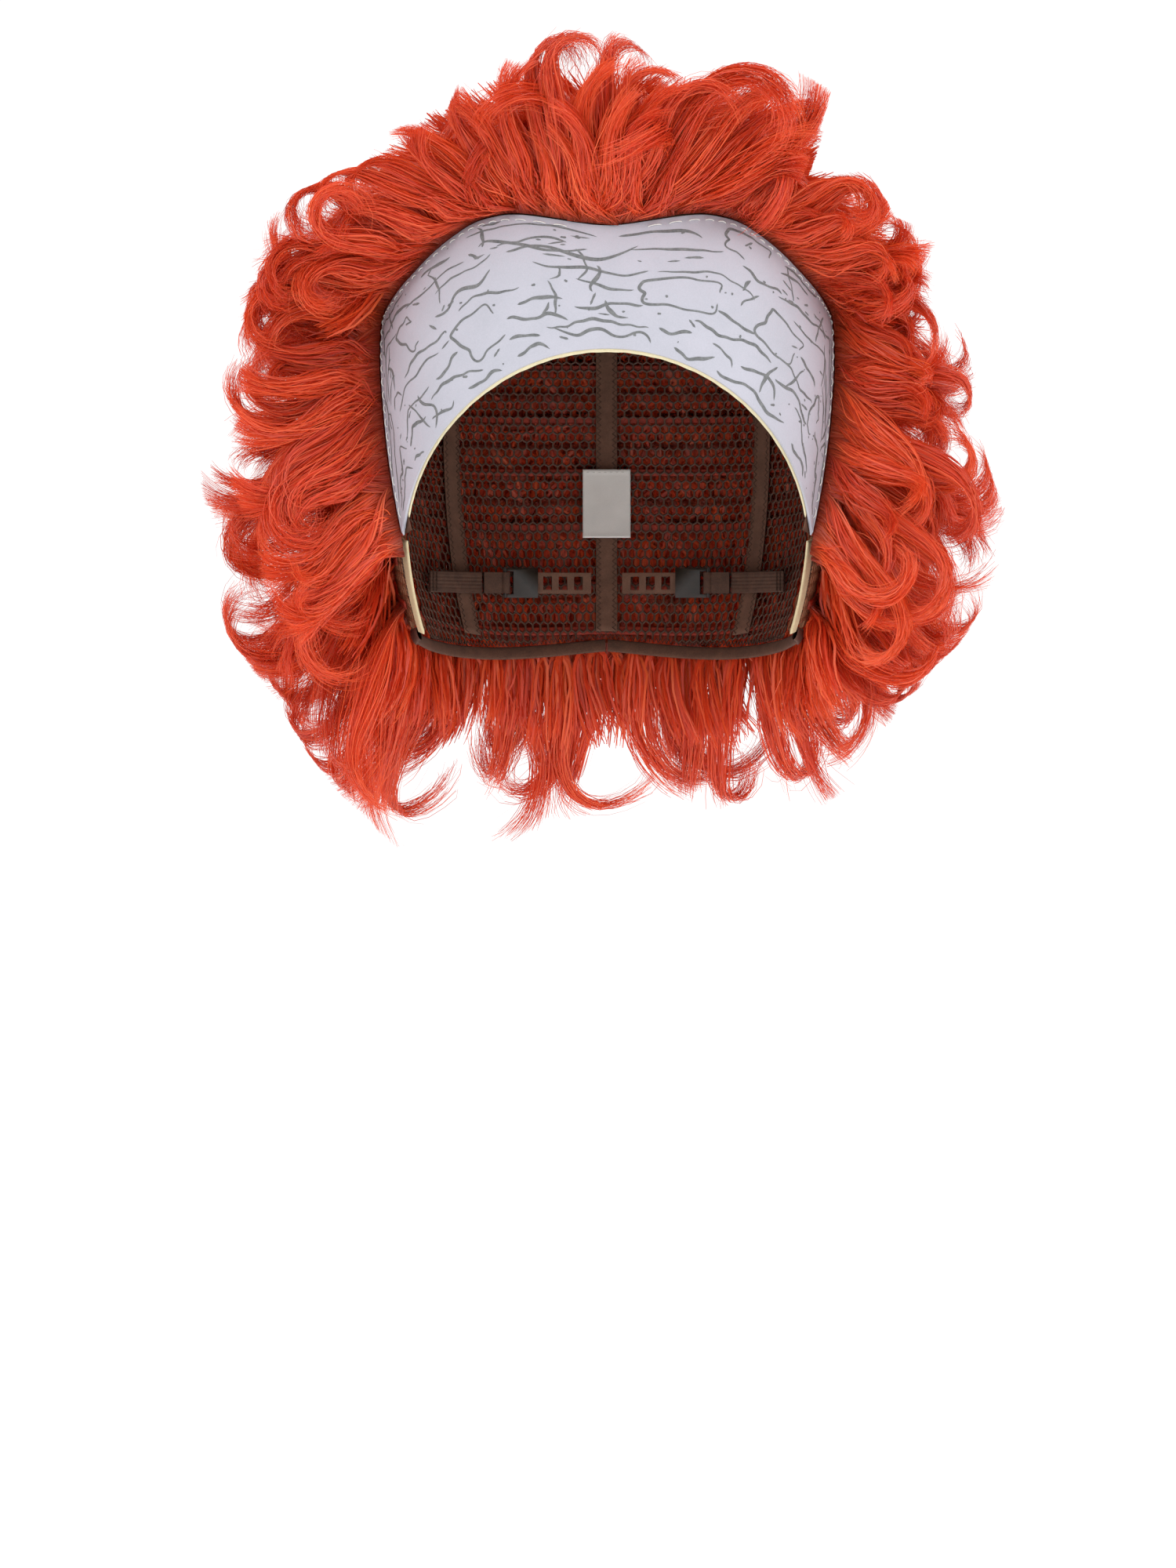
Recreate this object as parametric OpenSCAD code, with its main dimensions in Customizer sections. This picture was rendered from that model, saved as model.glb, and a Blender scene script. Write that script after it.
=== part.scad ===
// Curly costume wig: a net cap with a printed forehead panel, rows of hair wefts and two nape adjusters.
// Frame: millimetres, +Z up, the face opening looks along -Y, +X is to the right as seen from the front.
// The origin is the middle of the wearer's head at its widest level.

/* [Head] */
// Half the head's width, side to side
head_half_width = 82; // [74:1:88]
// Half the head's depth, front to back
head_half_depth = 98; // [90:1:106]
// Height of the crown above the widest level
crown_height = 92; // [84:1:98]
// Reach of the head form below the widest level
chin_depth = 140; // [130:1:150]
// Squareness of the head form: 2 is a plain ellipsoid
head_squareness = 2.4; // [2:0.1:2.8]
// Radius kept clear for the neck
neck_clear_radius = 50; // [44:1:56]

/* [Hair] */
// Half the width of the hair
hair_half_width = 148; // [136:1:156]
// Reach of the hair forward of the ears
hair_front_reach = 130; // [120:1:140]
// Reach of the hair behind the ears
hair_back_reach = 148; // [136:1:156]
// Height of the hair above the widest level
hair_top = 133; // [124:1:140]
// Length of the hair below the widest level
hair_bottom = 168; // [160:1:176]
// Squareness of the hair's outline
hair_squareness = 2.2; // [2:0.1:2.4]

/* [Cap] */
// Thickness of the net, the lace and the band
net_thickness = 0.6; // [0.4:0.1:0.8]
// Width of the elastic cap tapes
tape_width = 8; // [6:0.5:10]
// Thickness of the elastic cap tapes
tape_thickness = 0.7; // [0.5:0.1:0.8]
// Thickness of the printed forehead panel
panel_thickness = 1.3; // [1:0.1:1.6]
// Height of a sewn weft track, in degrees round the head
weft_height = 1.4; // [1:0.1:1.8]
// Thickness of a sewn weft track
weft_thickness = 1.2; // [0.8:0.1:1.4]

/* [Adjusters] */
// How far an adjuster hook travels toward the centre of the nape
hook_travel = 18; // [12:6:18]
// Spacing of the loops that a hook drops into
loop_pitch = 6; // [5:0.5:7]
// Height of the middle of the adjusters
adjuster_level = -67; // [-74:1:-64]
// Angle of an adjuster to the left-right axis
adjuster_angle = 15; // [13:1:17]

/* [Hidden] */
$fn = 32;

// Layers outward from the head: tapes lie inside the net, wefts and the panel outside it
gap = 0.4;
tape_in = 0.3;
tape_out = tape_in + tape_thickness;
net_in = tape_out + gap;
net_out = net_in + net_thickness;
outer_in = net_out + gap;
panel_out = outer_in + panel_thickness;
weft_out = outer_in + weft_thickness;
hair_in = weft_out + 0.9;
back_seam = 179.7;

// ---- Surfaces. A place on the head is [azimuth from the front, elevation], in degrees ----
function direction(p) = [sin(p[0]) * cos(p[1]), -cos(p[0]) * cos(p[1]), sin(p[1])];
function reach(u, a, b, c, n) =
    1 / pow(pow(abs(u[0]) / a, n) + pow(abs(u[1]) / b, n) + pow(abs(u[2]) / c, n), 1 / n);
function head_reach(u, off) = reach(u, head_half_width + off, head_half_depth + off,
    (u[2] >= 0 ? crown_height : chin_depth) + off, head_squareness);
function hair_reach(u) = reach(u, hair_half_width, u[1] < 0 ? hair_front_reach : hair_back_reach,
    u[2] >= 0 ? hair_top : hair_bottom, hair_squareness);
function on_head(p, off) = let (u = direction(p)) u * head_reach(u, off);
function hair_floor(p) = let (u = direction(p), level = norm([u[0], u[1]]))
    u * (u[2] < 0 ? max(head_reach(u, hair_in), neck_clear_radius / level) : head_reach(u, hair_in));
function hair_outside(p) = let (u = direction(p)) u * hair_reach(u);
function blend(a, b, t) = a + (b - a) * t;

// ---- The panel's upper outline, from its lower corner (0) over the temple to the middle (1) ----
edge_azimuth = [[0, 55], [0.4, 70.5], [0.5, 63], [0.6, 52], [0.7, 43], [0.8, 34], [0.88, 24], [1, 0]];
edge_elevation = [[0, -30], [0.4, 18], [0.5, 21], [0.6, 25.5], [0.7, 30.8], [0.8, 35.6], [0.88, 37], [1, 33.5]];
edge_normal = [[0, -15], [0.3, -15], [0.4, 30], [0.5, 62], [0.8, 70], [0.9, 92], [1, 90]];
arch_azimuth = [[0, 54.6], [0.4, 40], [1, 0]];
arch_top = 7.8;
arch_drop = 37.4;
corner_azimuth = 55;
edge_cols = 24;
function edge(s, out) = let (t = 1 - abs(s), a = lookup(t, edge_normal), side = s < 0 ? -1 : 1)
    [side * (lookup(t, edge_azimuth) + out * cos(a)), lookup(t, edge_elevation) + out * sin(a)];
function arch(s, drop) = let (t = 1 - abs(s), az = lookup(t, arch_azimuth), side = s < 0 ? -1 : 1)
    [side * az, arch_top - arch_drop * pow(az / corner_azimuth, 2) - drop];

// ---- Limits of the cap's parts ----
function cap_hem(az) = lookup(az, [[58, -47], [80, -50], [120, -49], [180, -46]]);
function crown_hem(az) = lookup(abs(az), [[0, 40.4], [20, 43.4], [34, 42.4], [47, 36.4], [54, 32.3]]);
function side_front(el) = lookup(el, [[-31, 61.6], [-6, 70.4], [19, 78.2], [24, 73], [29, 63.5], [32, 57.5]]);
function lace_front(el) = lookup(el, [[-50, 64.2], [-31, 61.2], [-24, 63.6]]);
function tab_front(el) = lookup(el, [[-50, 59.5], [-31.5, 55.2]]);
function weft_front(el) = lookup(el, [[-44, 67], [-31, 64], [-25, 65], [19, 78], [24, 70], [30, 61]]);
net_top = 32;
lace_top = -24.2;
side_back = 122;

// ---- Closed sheet between two surfaces over a grid of places; columns run with +azimuth, rows upward ----
module sheet(grid, inner, outer) {
    rows = len(grid);
    cols = len(grid[0]);
    size = rows * cols;
    places = [for (row = grid) for (p = row) p];
    points = concat([for (p = places) inner(p)], [for (p = places) outer(p)]);
    function at(i, j) = i * cols + j;
    faces = concat(
        [for (i = [0:rows - 2], j = [0:cols - 2])
            let (a = at(i, j), b = at(i, j + 1), c = at(i + 1, j + 1), d = at(i + 1, j))
            each [[a + size, d + size, c + size], [a + size, c + size, b + size], [a, b, c], [a, c, d]]],
        [for (j = [0:cols - 2])
            let (a = at(0, j), b = at(0, j + 1), c = at(rows - 1, j + 1), d = at(rows - 1, j))
            each [[a + size, b + size, b], [a + size, b, a], [c + size, d + size, d], [c + size, d, c]]],
        [for (i = [0:rows - 2])
            let (a = at(i, 0), d = at(i + 1, 0), b = at(i, cols - 1), c = at(i + 1, cols - 1))
            each [[d + size, a + size, a], [d + size, a, d], [b + size, c + size, c], [b + size, c, b]]]
    );
    polyhedron(points, faces, convexity = 6);
}

module layer(grid, from, to) {
    sheet(grid, function(p) on_head(p, from), function(p) on_head(p, to));
}

module hair_mass(grid) {
    sheet(grid, function(p) hair_floor(p), function(p) hair_outside(p));
}

module mirrored(side) {
    if (side < 0) mirror([1, 0, 0]) children();
    else children();
}

// Grid of rows of elevation, each between two azimuths that may change with elevation
function sector(from, to, low, high, cols, rows) = [for (i = [0:rows])
    [for (j = [0:cols])
        let (t = i / rows, el = is_function(low) ? 0 : blend(low, high, t), az0 = from(el), az = blend(az0, to, j / cols))
        [az, el]]];

// Grid of columns of azimuth, each between two elevations that may change with azimuth
function belt(from, to, low, high, cols, rows) = [for (i = [0:rows])
    [for (j = [0:cols])
        let (az = blend(from, to, j / cols))
        [az, blend(low(az), high(az), i / rows)]]];

// Grid over the crown: square rings of points become rings round the pole
function dome(hem, steps) = [for (i = [-steps:steps])
    [for (j = [-steps:steps])
        let (az = (i == 0 && j == 0) ? 0 : atan2(j, -i), ring = max(abs(i), abs(j)) / steps)
        [az, 90 - ring * (90 - hem(az))]]];

// ---- Forehead panel ----
module forehead_panel() {
    color([0.86, 0.86, 0.91])
        layer([for (v = [0:0.125:1])
            [for (j = [-edge_cols:edge_cols]) let (s = j / edge_cols) blend(arch(s, 0), edge(s, 0), v)]],
            outer_in, panel_out);
}

module panel_backing() {
    rim = 0.6;
    under_band = -3.5;
    color([0.93, 0.89, 0.72])
        layer([for (v = [0:0.2:1])
            [for (j = [-edge_cols:edge_cols]) let (s = 0.94 * j / edge_cols)
                blend(arch(s, rim), edge(s, under_band), v)]],
            net_in, net_out);
}

module rod(a, b, r) {
    d = b - a;
    translate(a)
        rotate([0, acos(d[2] / norm(d)), atan2(d[1], d[0])])
            cylinder(r = r, h = norm(d), $fn = 16);
}

module panel_stitches() {
    thread_radius = 0.22;
    inset = -1.3;
    lift = 0.32;
    pitch = 0.026;
    stitch = 0.6 * pitch;
    color([0.95, 0.95, 0.93])
        for (side = [-1, 1], k = [1:36])
            rod(on_head(edge(side * (1 - k * pitch), inset), panel_out + lift),
                on_head(edge(side * (1 - k * pitch - stitch), inset), panel_out + lift), thread_radius);
}

// Strip that follows the panel's upper outline, between two distances outside it
module edge_strip(near, far, from, to) {
    layer([for (out = [near, (near + far) / 2, far])
        [for (j = [-edge_cols:edge_cols]) edge(j / edge_cols, out)]],
        from, to);
}

module front_band() {
    color([0.55, 0.38, 0.28]) edge_strip(-3, 5.6, net_in, net_out);
}

module front_weft() {
    color([0.62, 0.16, 0.08]) edge_strip(0.9, 2.6, outer_in, weft_out);
}

// ---- Net, lace and bindings ----
module crown_net() {
    color([0.45, 0.3, 0.22]) layer(dome(function(az) crown_hem(az), 11), net_in, net_out);
}

module side_net() {
    color([0.45, 0.3, 0.22])
        layer(sector(function(el) side_front(el), side_back, -24, net_top, 10, 10), net_in, net_out);
}

module back_net() {
    color([0.45, 0.3, 0.22])
        layer(belt(side_back + 0.3, 360 - side_back - 0.3, function(az) cap_hem(az > 180 ? 360 - az : az),
            function(az) net_top, 20, 14), net_in, net_out);
}

module ear_lace() {
    cols = 10;
    rows = 5;
    color([0.6, 0.4, 0.27])
        layer([for (i = [0:rows])
            [for (j = [0:cols])
                let (t = i / rows, az0 = lace_front(blend(-48.5, lace_top, t)), az = blend(az0, side_back, j / cols))
                [az, blend(cap_hem(az), lace_top, t)]]],
            net_in, net_out);
}

module ear_tab() {
    tab_width = 4.2;
    color([0.92, 0.88, 0.76])
        layer([for (el = [-48.5, -44, -39, -35, -31.5])
            [for (w = [0, tab_width]) [tab_front(el) + w, el]]],
            net_in, outer_in + 0.2);
}

module edge_binding() {
    cols = 20;
    fold = 2.2;
    color([0.5, 0.33, 0.24])
        layer([for (drop = [fold, 0.15])
            [for (j = [0:cols]) let (az = blend(64.8, back_seam, j / cols)) [az, cap_hem(az) - drop]]],
            net_in - 0.3, net_out + 0.3);
}

module cap_tape(az, from, to) {
    rows = 20;
    color([0.5, 0.36, 0.28])
        layer([for (i = [0:rows])
            let (el = blend(from, to, i / rows), u = direction([az, el]))
            let (half = atan(tape_width / 2 / (head_reach(u, 0) * cos(el))))
            [[az - half, el], [az + half, el]]],
            tape_in, tape_out);
}

// ---- Weft tracks ----
module weft_track(from, to, el, cols) {
    layer([for (up = [-weft_height / 2, weft_height / 2])
        [for (j = [0:cols]) [blend(from, to, j / cols), el + up]]],
        outer_in, weft_out);
}

module weft_row(el) {
    start = weft_front(el);
    color([0.62, 0.16, 0.08]) weft_track(start, 360 - start, el, 40);
}

module crown_weft(rows) {
    color([0.62, 0.16, 0.08])
        for (row = rows) weft_track(row[1], 360 - row[1], row[0], row[2]);
}

// ---- Hair masses ----
hair_red = [0.8, 0.24, 0.12];

module hair_quiff() {
    color(hair_red)
        hair_mass(belt(-37.8, 37.8, function(az) lookup(abs(az), [[0, 37.2], [24, 40.7], [34, 39], [38, 37.2]]),
            function(az) 67.7, 10, 4));
}

module hair_crown_top() {
    color(hair_red) hair_mass(dome(function(az) 68.2, 4));
}

module hair_temple() {
    color(hair_red)
        hair_mass(belt(38.2, 79.8, function(az) lookup(az, [[38, 37.2], [43, 34.5], [52, 29.2], [63, 25], [72, 22.2]]),
            function(az) 67.7, 7, 5));
}

module hair_crown_back() {
    color(hair_red) hair_mass(belt(80.2, back_seam, function(az) 38.2, function(az) 67.7, 10, 4));
}

module hair_side(low, high, front) {
    color(hair_red) hair_mass(sector(front, side_back - 0.2, low, high, 7, 4));
}

module hair_back(low, high) {
    color(hair_red) hair_mass(belt(side_back + 0.2, back_seam, function(az) low, function(az) high, 7, 4));
}

function upper_front(el) = lookup(el, [[5, 73], [19, 77.2], [21.4, 80.2]]);
function middle_front(el) = lookup(el, [[-24, 64.5], [5, 73]]);
function lower_front(el) = lookup(el, [[-50, 67], [-30, 63], [-24, 64.5]]);
function nape_front(el) = 74;

// ---- Nape adjusters, drawn for the right side with the hook's bar at the origin ----
// Local X runs toward the centre of the nape, local Y toward the head
bar_place = [38, 78.4, adjuster_level];
bar_radius = 0.8;
sleeve_bore = 0.88;
sleeve_radius = 1.8;
strap_height = 8;
strap_thickness = 1;
hook_thickness = 1.2;
hook_height = 11.2;
hook_length = 12.5;
tongue_middle = 11;
tongue_length = 2;
tape_face = 2.3;
loop_tape_thickness = 0.8;
loop_opening = 3.4;
loop_count = hook_travel / loop_pitch + 1;

module adjuster_frame() {
    translate(bar_place) rotate([0, 0, 180 - adjuster_angle]) children();
}

module block(low, high) {
    translate(low) cube(high - low);
}

module loop_tape() {
    start = tongue_middle - 4.4;
    finish = tongue_middle + hook_travel + 5;
    shank = 2.1;
    color([0.5, 0.36, 0.28])
        adjuster_frame() {
            difference() {
                block([start, -tape_face - loop_tape_thickness, -strap_height / 2],
                    [finish, -tape_face, strap_height / 2]);
                for (k = [0:loop_count - 1])
                    translate([tongue_middle + k * loop_pitch, -tape_face, 0])
                        cube([loop_opening, 4 * loop_tape_thickness, 5], center = true);
            }
            block([start, -tape_face - loop_tape_thickness - shank, -3],
                [start + 1, -tape_face - loop_tape_thickness, 3]);
        }
}

module adjuster_strap() {
    near = [47.1, 74.8, adjuster_level];
    far = [65.8, 49.1, adjuster_level];
    run = far - near;
    color([0.42, 0.29, 0.22])
        translate(near)
            rotate([0, 0, atan2(run[1], run[0])])
                block([0, -strap_thickness / 2, -strap_height / 2],
                    [norm(run), strap_thickness / 2, strap_height / 2]);
}

module strap_end() {
    tail = 8.4;
    tail_thickness = 1.8;
    color([0.42, 0.29, 0.22])
        adjuster_frame()
            difference() {
                union() {
                    cylinder(r = sleeve_radius, h = strap_height, center = true);
                    block([-tail, -tail_thickness / 2, -strap_height / 2],
                        [0, tail_thickness / 2, strap_height / 2]);
                }
                cylinder(r = sleeve_bore, h = 2 * strap_height, center = true);
            }
}

module adjuster_hook() {
    arm_from = 4.3;
    color([0.2, 0.14, 0.1])
        adjuster_frame()
            union() {
                cylinder(r = bar_radius, h = hook_height, center = true);
                for (side = [-1, 1])
                    block([-bar_radius, -hook_thickness / 2, side > 0 ? arm_from : -hook_height / 2],
                        [3.5, hook_thickness / 2, side > 0 ? hook_height / 2 : -arm_from]);
                block([3, -hook_thickness / 2, -hook_height / 2],
                    [hook_length, hook_thickness / 2, hook_height / 2]);
                block([tongue_middle - tongue_length / 2, -1.9, -1.8],
                    [tongue_middle + tongue_length / 2, 0, 1.8]);
            }
}

module care_label() {
    label = [18, 0.5, 26];
    tilt = 7;
    color([0.95, 0.95, 0.94])
        translate([0, 95.6, -24])
            rotate([-tilt, 0, 0])
                translate([-label[0] / 2, -label[1] / 2, -label[2]]) cube(label);
}

forehead_panel();
panel_backing();
panel_stitches();
front_band();
front_weft();
crown_net();
mirrored(-1) side_net();  // side_net_left
mirrored(1) side_net();  // side_net_right
back_net();
mirrored(-1) ear_lace();  // ear_lace_left
mirrored(1) ear_lace();  // ear_lace_right
mirrored(-1) ear_tab();  // ear_tab_left
mirrored(1) ear_tab();  // ear_tab_right
mirrored(-1) edge_binding();  // edge_binding_left
mirrored(1) edge_binding();  // edge_binding_right
cap_tape(180, -45, 68);  // tape_centre
mirrored(-1) cap_tape(143, -46, 66);  // tape_back_left
mirrored(1) cap_tape(143, -46, 66);  // tape_back_right
mirrored(-1) cap_tape(104, -48, 62);  // tape_side_left
mirrored(1) cap_tape(104, -48, 62);  // tape_side_right
crown_weft([[42, 44, 36], [54, 3, 44]]);  // crown_weft_outer
crown_weft([[66, 3, 34], [78, 6, 24]]);  // crown_weft_inner
weft_row(30);  // weft_row_1
weft_row(19);  // weft_row_2
weft_row(8);  // weft_row_3
weft_row(-3);  // weft_row_4
weft_row(-14);  // weft_row_5
weft_row(-25);  // weft_row_6
weft_row(-36);  // weft_row_7
weft_row(-44);  // weft_row_8
hair_quiff();
hair_crown_top();
mirrored(-1) hair_temple();  // hair_temple_left
mirrored(1) hair_temple();  // hair_temple_right
mirrored(-1) hair_crown_back();  // hair_crown_back_left
mirrored(1) hair_crown_back();  // hair_crown_back_right
mirrored(-1) hair_side(5.2, 37.8, function(el) upper_front(el));  // hair_side_upper_left
mirrored(1) hair_side(5.2, 37.8, function(el) upper_front(el));  // hair_side_upper_right
mirrored(-1) hair_side(-23.8, 4.8, function(el) middle_front(el));  // hair_side_middle_left
mirrored(1) hair_side(-23.8, 4.8, function(el) middle_front(el));  // hair_side_middle_right
mirrored(-1) hair_side(-49.8, -24.2, function(el) lower_front(el));  // hair_side_lower_left
mirrored(1) hair_side(-49.8, -24.2, function(el) lower_front(el));  // hair_side_lower_right
mirrored(-1) hair_side(-72, -50.2, function(el) nape_front(el));  // hair_nape_side_left
mirrored(1) hair_side(-72, -50.2, function(el) nape_front(el));  // hair_nape_side_right
mirrored(-1) hair_back(0.2, 37.8);  // hair_back_upper_left
mirrored(1) hair_back(0.2, 37.8);  // hair_back_upper_right
mirrored(-1) hair_back(-37.8, -0.2);  // hair_back_lower_left
mirrored(1) hair_back(-37.8, -0.2);  // hair_back_lower_right
mirrored(-1) hair_back(-72, -38.2);  // hair_nape_back_left
mirrored(1) hair_back(-72, -38.2);  // hair_nape_back_right
mirrored(-1) loop_tape();  // loop_tape_left
mirrored(1) loop_tape();  // loop_tape_right
mirrored(-1) adjuster_strap();  // adjuster_strap_left
mirrored(1) adjuster_strap();  // adjuster_strap_right
mirrored(-1) strap_end();  // strap_end_left
mirrored(1) strap_end();  // strap_end_right
mirrored(-1) adjuster_hook();  // adjuster_hook_left
mirrored(1) adjuster_hook();  // adjuster_hook_right
care_label();
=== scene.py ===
"""Looks of a curly costume wig: hair, printed forehead panel, net cap and nape adjusters.

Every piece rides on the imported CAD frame. Shapes are worked out in millimetres on the same head form
that the frame is built on, and turned to metres when a mesh is made.
"""

import logging
import math
from dataclasses import astuple, dataclass, field, fields
from enum import Enum
from typing import Callable, Optional, Sequence

import bpy
import numpy as np
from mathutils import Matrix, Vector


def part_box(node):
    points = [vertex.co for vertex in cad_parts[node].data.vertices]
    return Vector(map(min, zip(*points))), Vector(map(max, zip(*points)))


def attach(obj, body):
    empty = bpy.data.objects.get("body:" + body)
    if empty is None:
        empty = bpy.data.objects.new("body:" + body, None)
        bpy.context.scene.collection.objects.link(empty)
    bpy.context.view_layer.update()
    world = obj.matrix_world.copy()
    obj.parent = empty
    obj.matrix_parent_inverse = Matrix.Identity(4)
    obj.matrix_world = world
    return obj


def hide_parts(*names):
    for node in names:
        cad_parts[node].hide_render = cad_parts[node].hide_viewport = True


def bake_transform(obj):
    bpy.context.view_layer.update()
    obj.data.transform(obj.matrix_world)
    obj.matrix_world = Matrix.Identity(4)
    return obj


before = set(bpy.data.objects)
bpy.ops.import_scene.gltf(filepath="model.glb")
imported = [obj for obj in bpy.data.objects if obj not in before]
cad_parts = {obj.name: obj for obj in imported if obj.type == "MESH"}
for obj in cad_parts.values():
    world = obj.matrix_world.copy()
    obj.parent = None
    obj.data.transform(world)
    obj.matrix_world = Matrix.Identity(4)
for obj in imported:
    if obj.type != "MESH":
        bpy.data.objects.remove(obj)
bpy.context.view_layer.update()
LOG = logging.getLogger("wig")
MM = 0.001
ROOT_BODY = "cap"
Array = np.ndarray


class Side(Enum):
    """The wearer's sides as seen from the front: left is -X."""

    LEFT = -1
    RIGHT = 1

    @property
    def word(self) -> str:
        """The side's name as the frame's nodes spell it."""
        return self.name.lower()


# ==== Numbers and meshes ====


def linear(code: str) -> tuple[float, float, float, float]:
    """Turn an sRGB hex colour into linear light.

    Args:
        code: Six hex digits, such as "C83E22".

    Returns:
        Red, green, blue and an alpha of 1.
    """
    channels = [int(code[k : k + 2], 16) / 255 for k in (0, 2, 4)]
    return tuple(c / 12.92 if c <= 0.04045 else ((c + 0.055) / 1.055) ** 2.4 for c in channels) + (1.0,)


def unit(v: Array) -> Array:
    """Scale vectors along the last axis to length one."""
    return v / np.maximum(np.linalg.norm(v, axis=-1, keepdims=True), 1e-9)


def smooth(t: Array) -> Array:
    """Ease from 0 to 1 with level ends."""
    t = np.clip(t, 0, 1)
    return t * t * (3 - 2 * t)


def make_mesh(
    name: str,
    points: Array,
    faces: Array,
    shade_smooth: bool = True,
) -> bpy.types.Object:
    """Make a mesh object from points in millimetres.

    Args:
        name: The piece's name.
        points: (n, 3) places in millimetres.
        faces: (m, 3) or (m, 4) corner indices, anticlockwise from outside.
        shade_smooth: Whether normals run smoothly over the faces.

    Returns:
        The new object, linked to the scene.
    """
    mesh = bpy.data.meshes.new(name)
    points = np.asarray(points, float).reshape(-1, 3) * MM
    corners = faces.shape[1]
    mesh.vertices.add(len(points))
    mesh.vertices.foreach_set("co", points.astype(np.float32).ravel())
    mesh.loops.add(faces.size)
    mesh.loops.foreach_set("vertex_index", faces.astype(np.int32).ravel())
    mesh.polygons.add(len(faces))
    mesh.polygons.foreach_set("loop_start", np.arange(0, faces.size, corners, dtype=np.int32))
    mesh.polygons.foreach_set("use_smooth", np.full(len(faces), shade_smooth))
    mesh.update(calc_edges=True)
    mesh.validate()
    obj = bpy.data.objects.new(name, mesh)
    bpy.context.scene.collection.objects.link(obj)
    return obj


def strip_faces(rows: int, cols: int, start: int = 0, flip: bool = False) -> Array:
    """Quads over a grid of points.

    Args:
        rows: Points one way.
        cols: Points the other way.
        start: Index of the grid's first point.
        flip: Whether the quads face the other way.

    Returns:
        (n, 4) point indices.
    """
    i, j = np.meshgrid(np.arange(rows - 1), np.arange(cols - 1), indexing="ij")
    a = (i * cols + j + start).ravel()
    quads = np.stack([a, a + 1, a + cols + 1, a + cols], axis=1)
    return quads[:, ::-1] if flip else quads


def closed_sheet(inner: Array, outer: Array) -> tuple[Array, Array]:
    """Close two facing grids into one thin solid.

    Args:
        inner: (rows, cols, 3) places of the face toward the head.
        outer: The same for the face away from it.

    Returns:
        Points and quads.
    """
    rows, cols = inner.shape[:2]
    size = rows * cols
    index = np.arange(size).reshape(rows, cols)
    loop = np.concatenate([index[0, :], index[1:, -1], index[-1, -2::-1], index[-2:0:-1, 0]])
    nxt = np.roll(loop, -1)
    rim = np.stack([loop, nxt, nxt + size, loop + size], axis=1)
    faces = np.concatenate([strip_faces(rows, cols, 0, True), strip_faces(rows, cols, size), rim])
    return np.concatenate([inner.reshape(-1, 3), outer.reshape(-1, 3)]), faces


def tube(path: Array, radius: float, sides: int = 6, closed: bool = False) -> tuple[Array, Array]:
    """Sweep a round section along a path.

    Args:
        path: (n, 3) places in millimetres.
        radius: Radius in millimetres.
        sides: Corners of the section.
        closed: Whether the path is a ring.

    Returns:
        Points and quads; open ends are left to the small radius.
    """
    n = len(path)
    along = np.roll(path, -1, axis=0) - np.roll(path, 1, axis=0)
    if not closed:
        along[0], along[-1] = path[1] - path[0], path[-1] - path[-2]
    along = unit(along)
    across = np.zeros_like(along)
    first = np.cross(along[0], [0.31, 0.27, 0.91])
    across[0] = first / np.linalg.norm(first)
    for k in range(1, n):
        side = across[k - 1] - along[k] * np.dot(across[k - 1], along[k])
        across[k] = side / np.linalg.norm(side)
    up = np.cross(along, across)
    turn = np.linspace(0, 2 * math.pi, sides, endpoint=False)
    ring = across[:, None] * np.cos(turn)[None, :, None] + up[:, None] * np.sin(turn)[None, :, None]
    points = (path[:, None] + radius * ring).reshape(-1, 3)
    spans = n if closed else n - 1
    i, j = np.meshgrid(np.arange(spans), np.arange(sides), indexing="ij")
    i, j = i.ravel(), j.ravel()
    a, b = i * sides + j, i * sides + (j + 1) % sides
    c, d = ((i + 1) % n) * sides + (j + 1) % sides, ((i + 1) % n) * sides + j
    return points, np.stack([a, b, c, d], axis=1)


def from_front(az: Array) -> Array:
    """The same azimuths, from -180 to 180 degrees."""
    return (np.asarray(az) + 180) % 360 - 180


def join(parts: Sequence[tuple[Array, Array]]) -> tuple[Array, Array]:
    """Put several sets of points and quads into one.

    Args:
        parts: Points and quads of each.

    Returns:
        Points and quads of them all.
    """
    points, faces, start = [], [], 0
    for p, f in parts:
        points.append(p)
        faces.append(f + start)
        start += len(p)
    return np.concatenate(points), np.concatenate(faces)


def settle(
    piece: bpy.types.Object,
    nodes: Sequence[str],
    material: bpy.types.Material,
    body: str = ROOT_BODY,
) -> bpy.types.Object:
    """Dress a piece, tie it to its body and hide the CAD nodes that it stands for.

    Args:
        piece: The new piece.
        nodes: CAD nodes that it replaces.
        material: The finish that it wears.
        body: The body that it moves with.

    Returns:
        The same piece.
    """
    piece.data.materials.clear()
    piece.data.materials.append(material)
    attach(piece, body)
    if nodes:
        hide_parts(*nodes)
    LOG.info("%s: %d faces", piece.name, len(piece.data.polygons))
    return piece


# ==== The head form and the cap's outline ====


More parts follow.
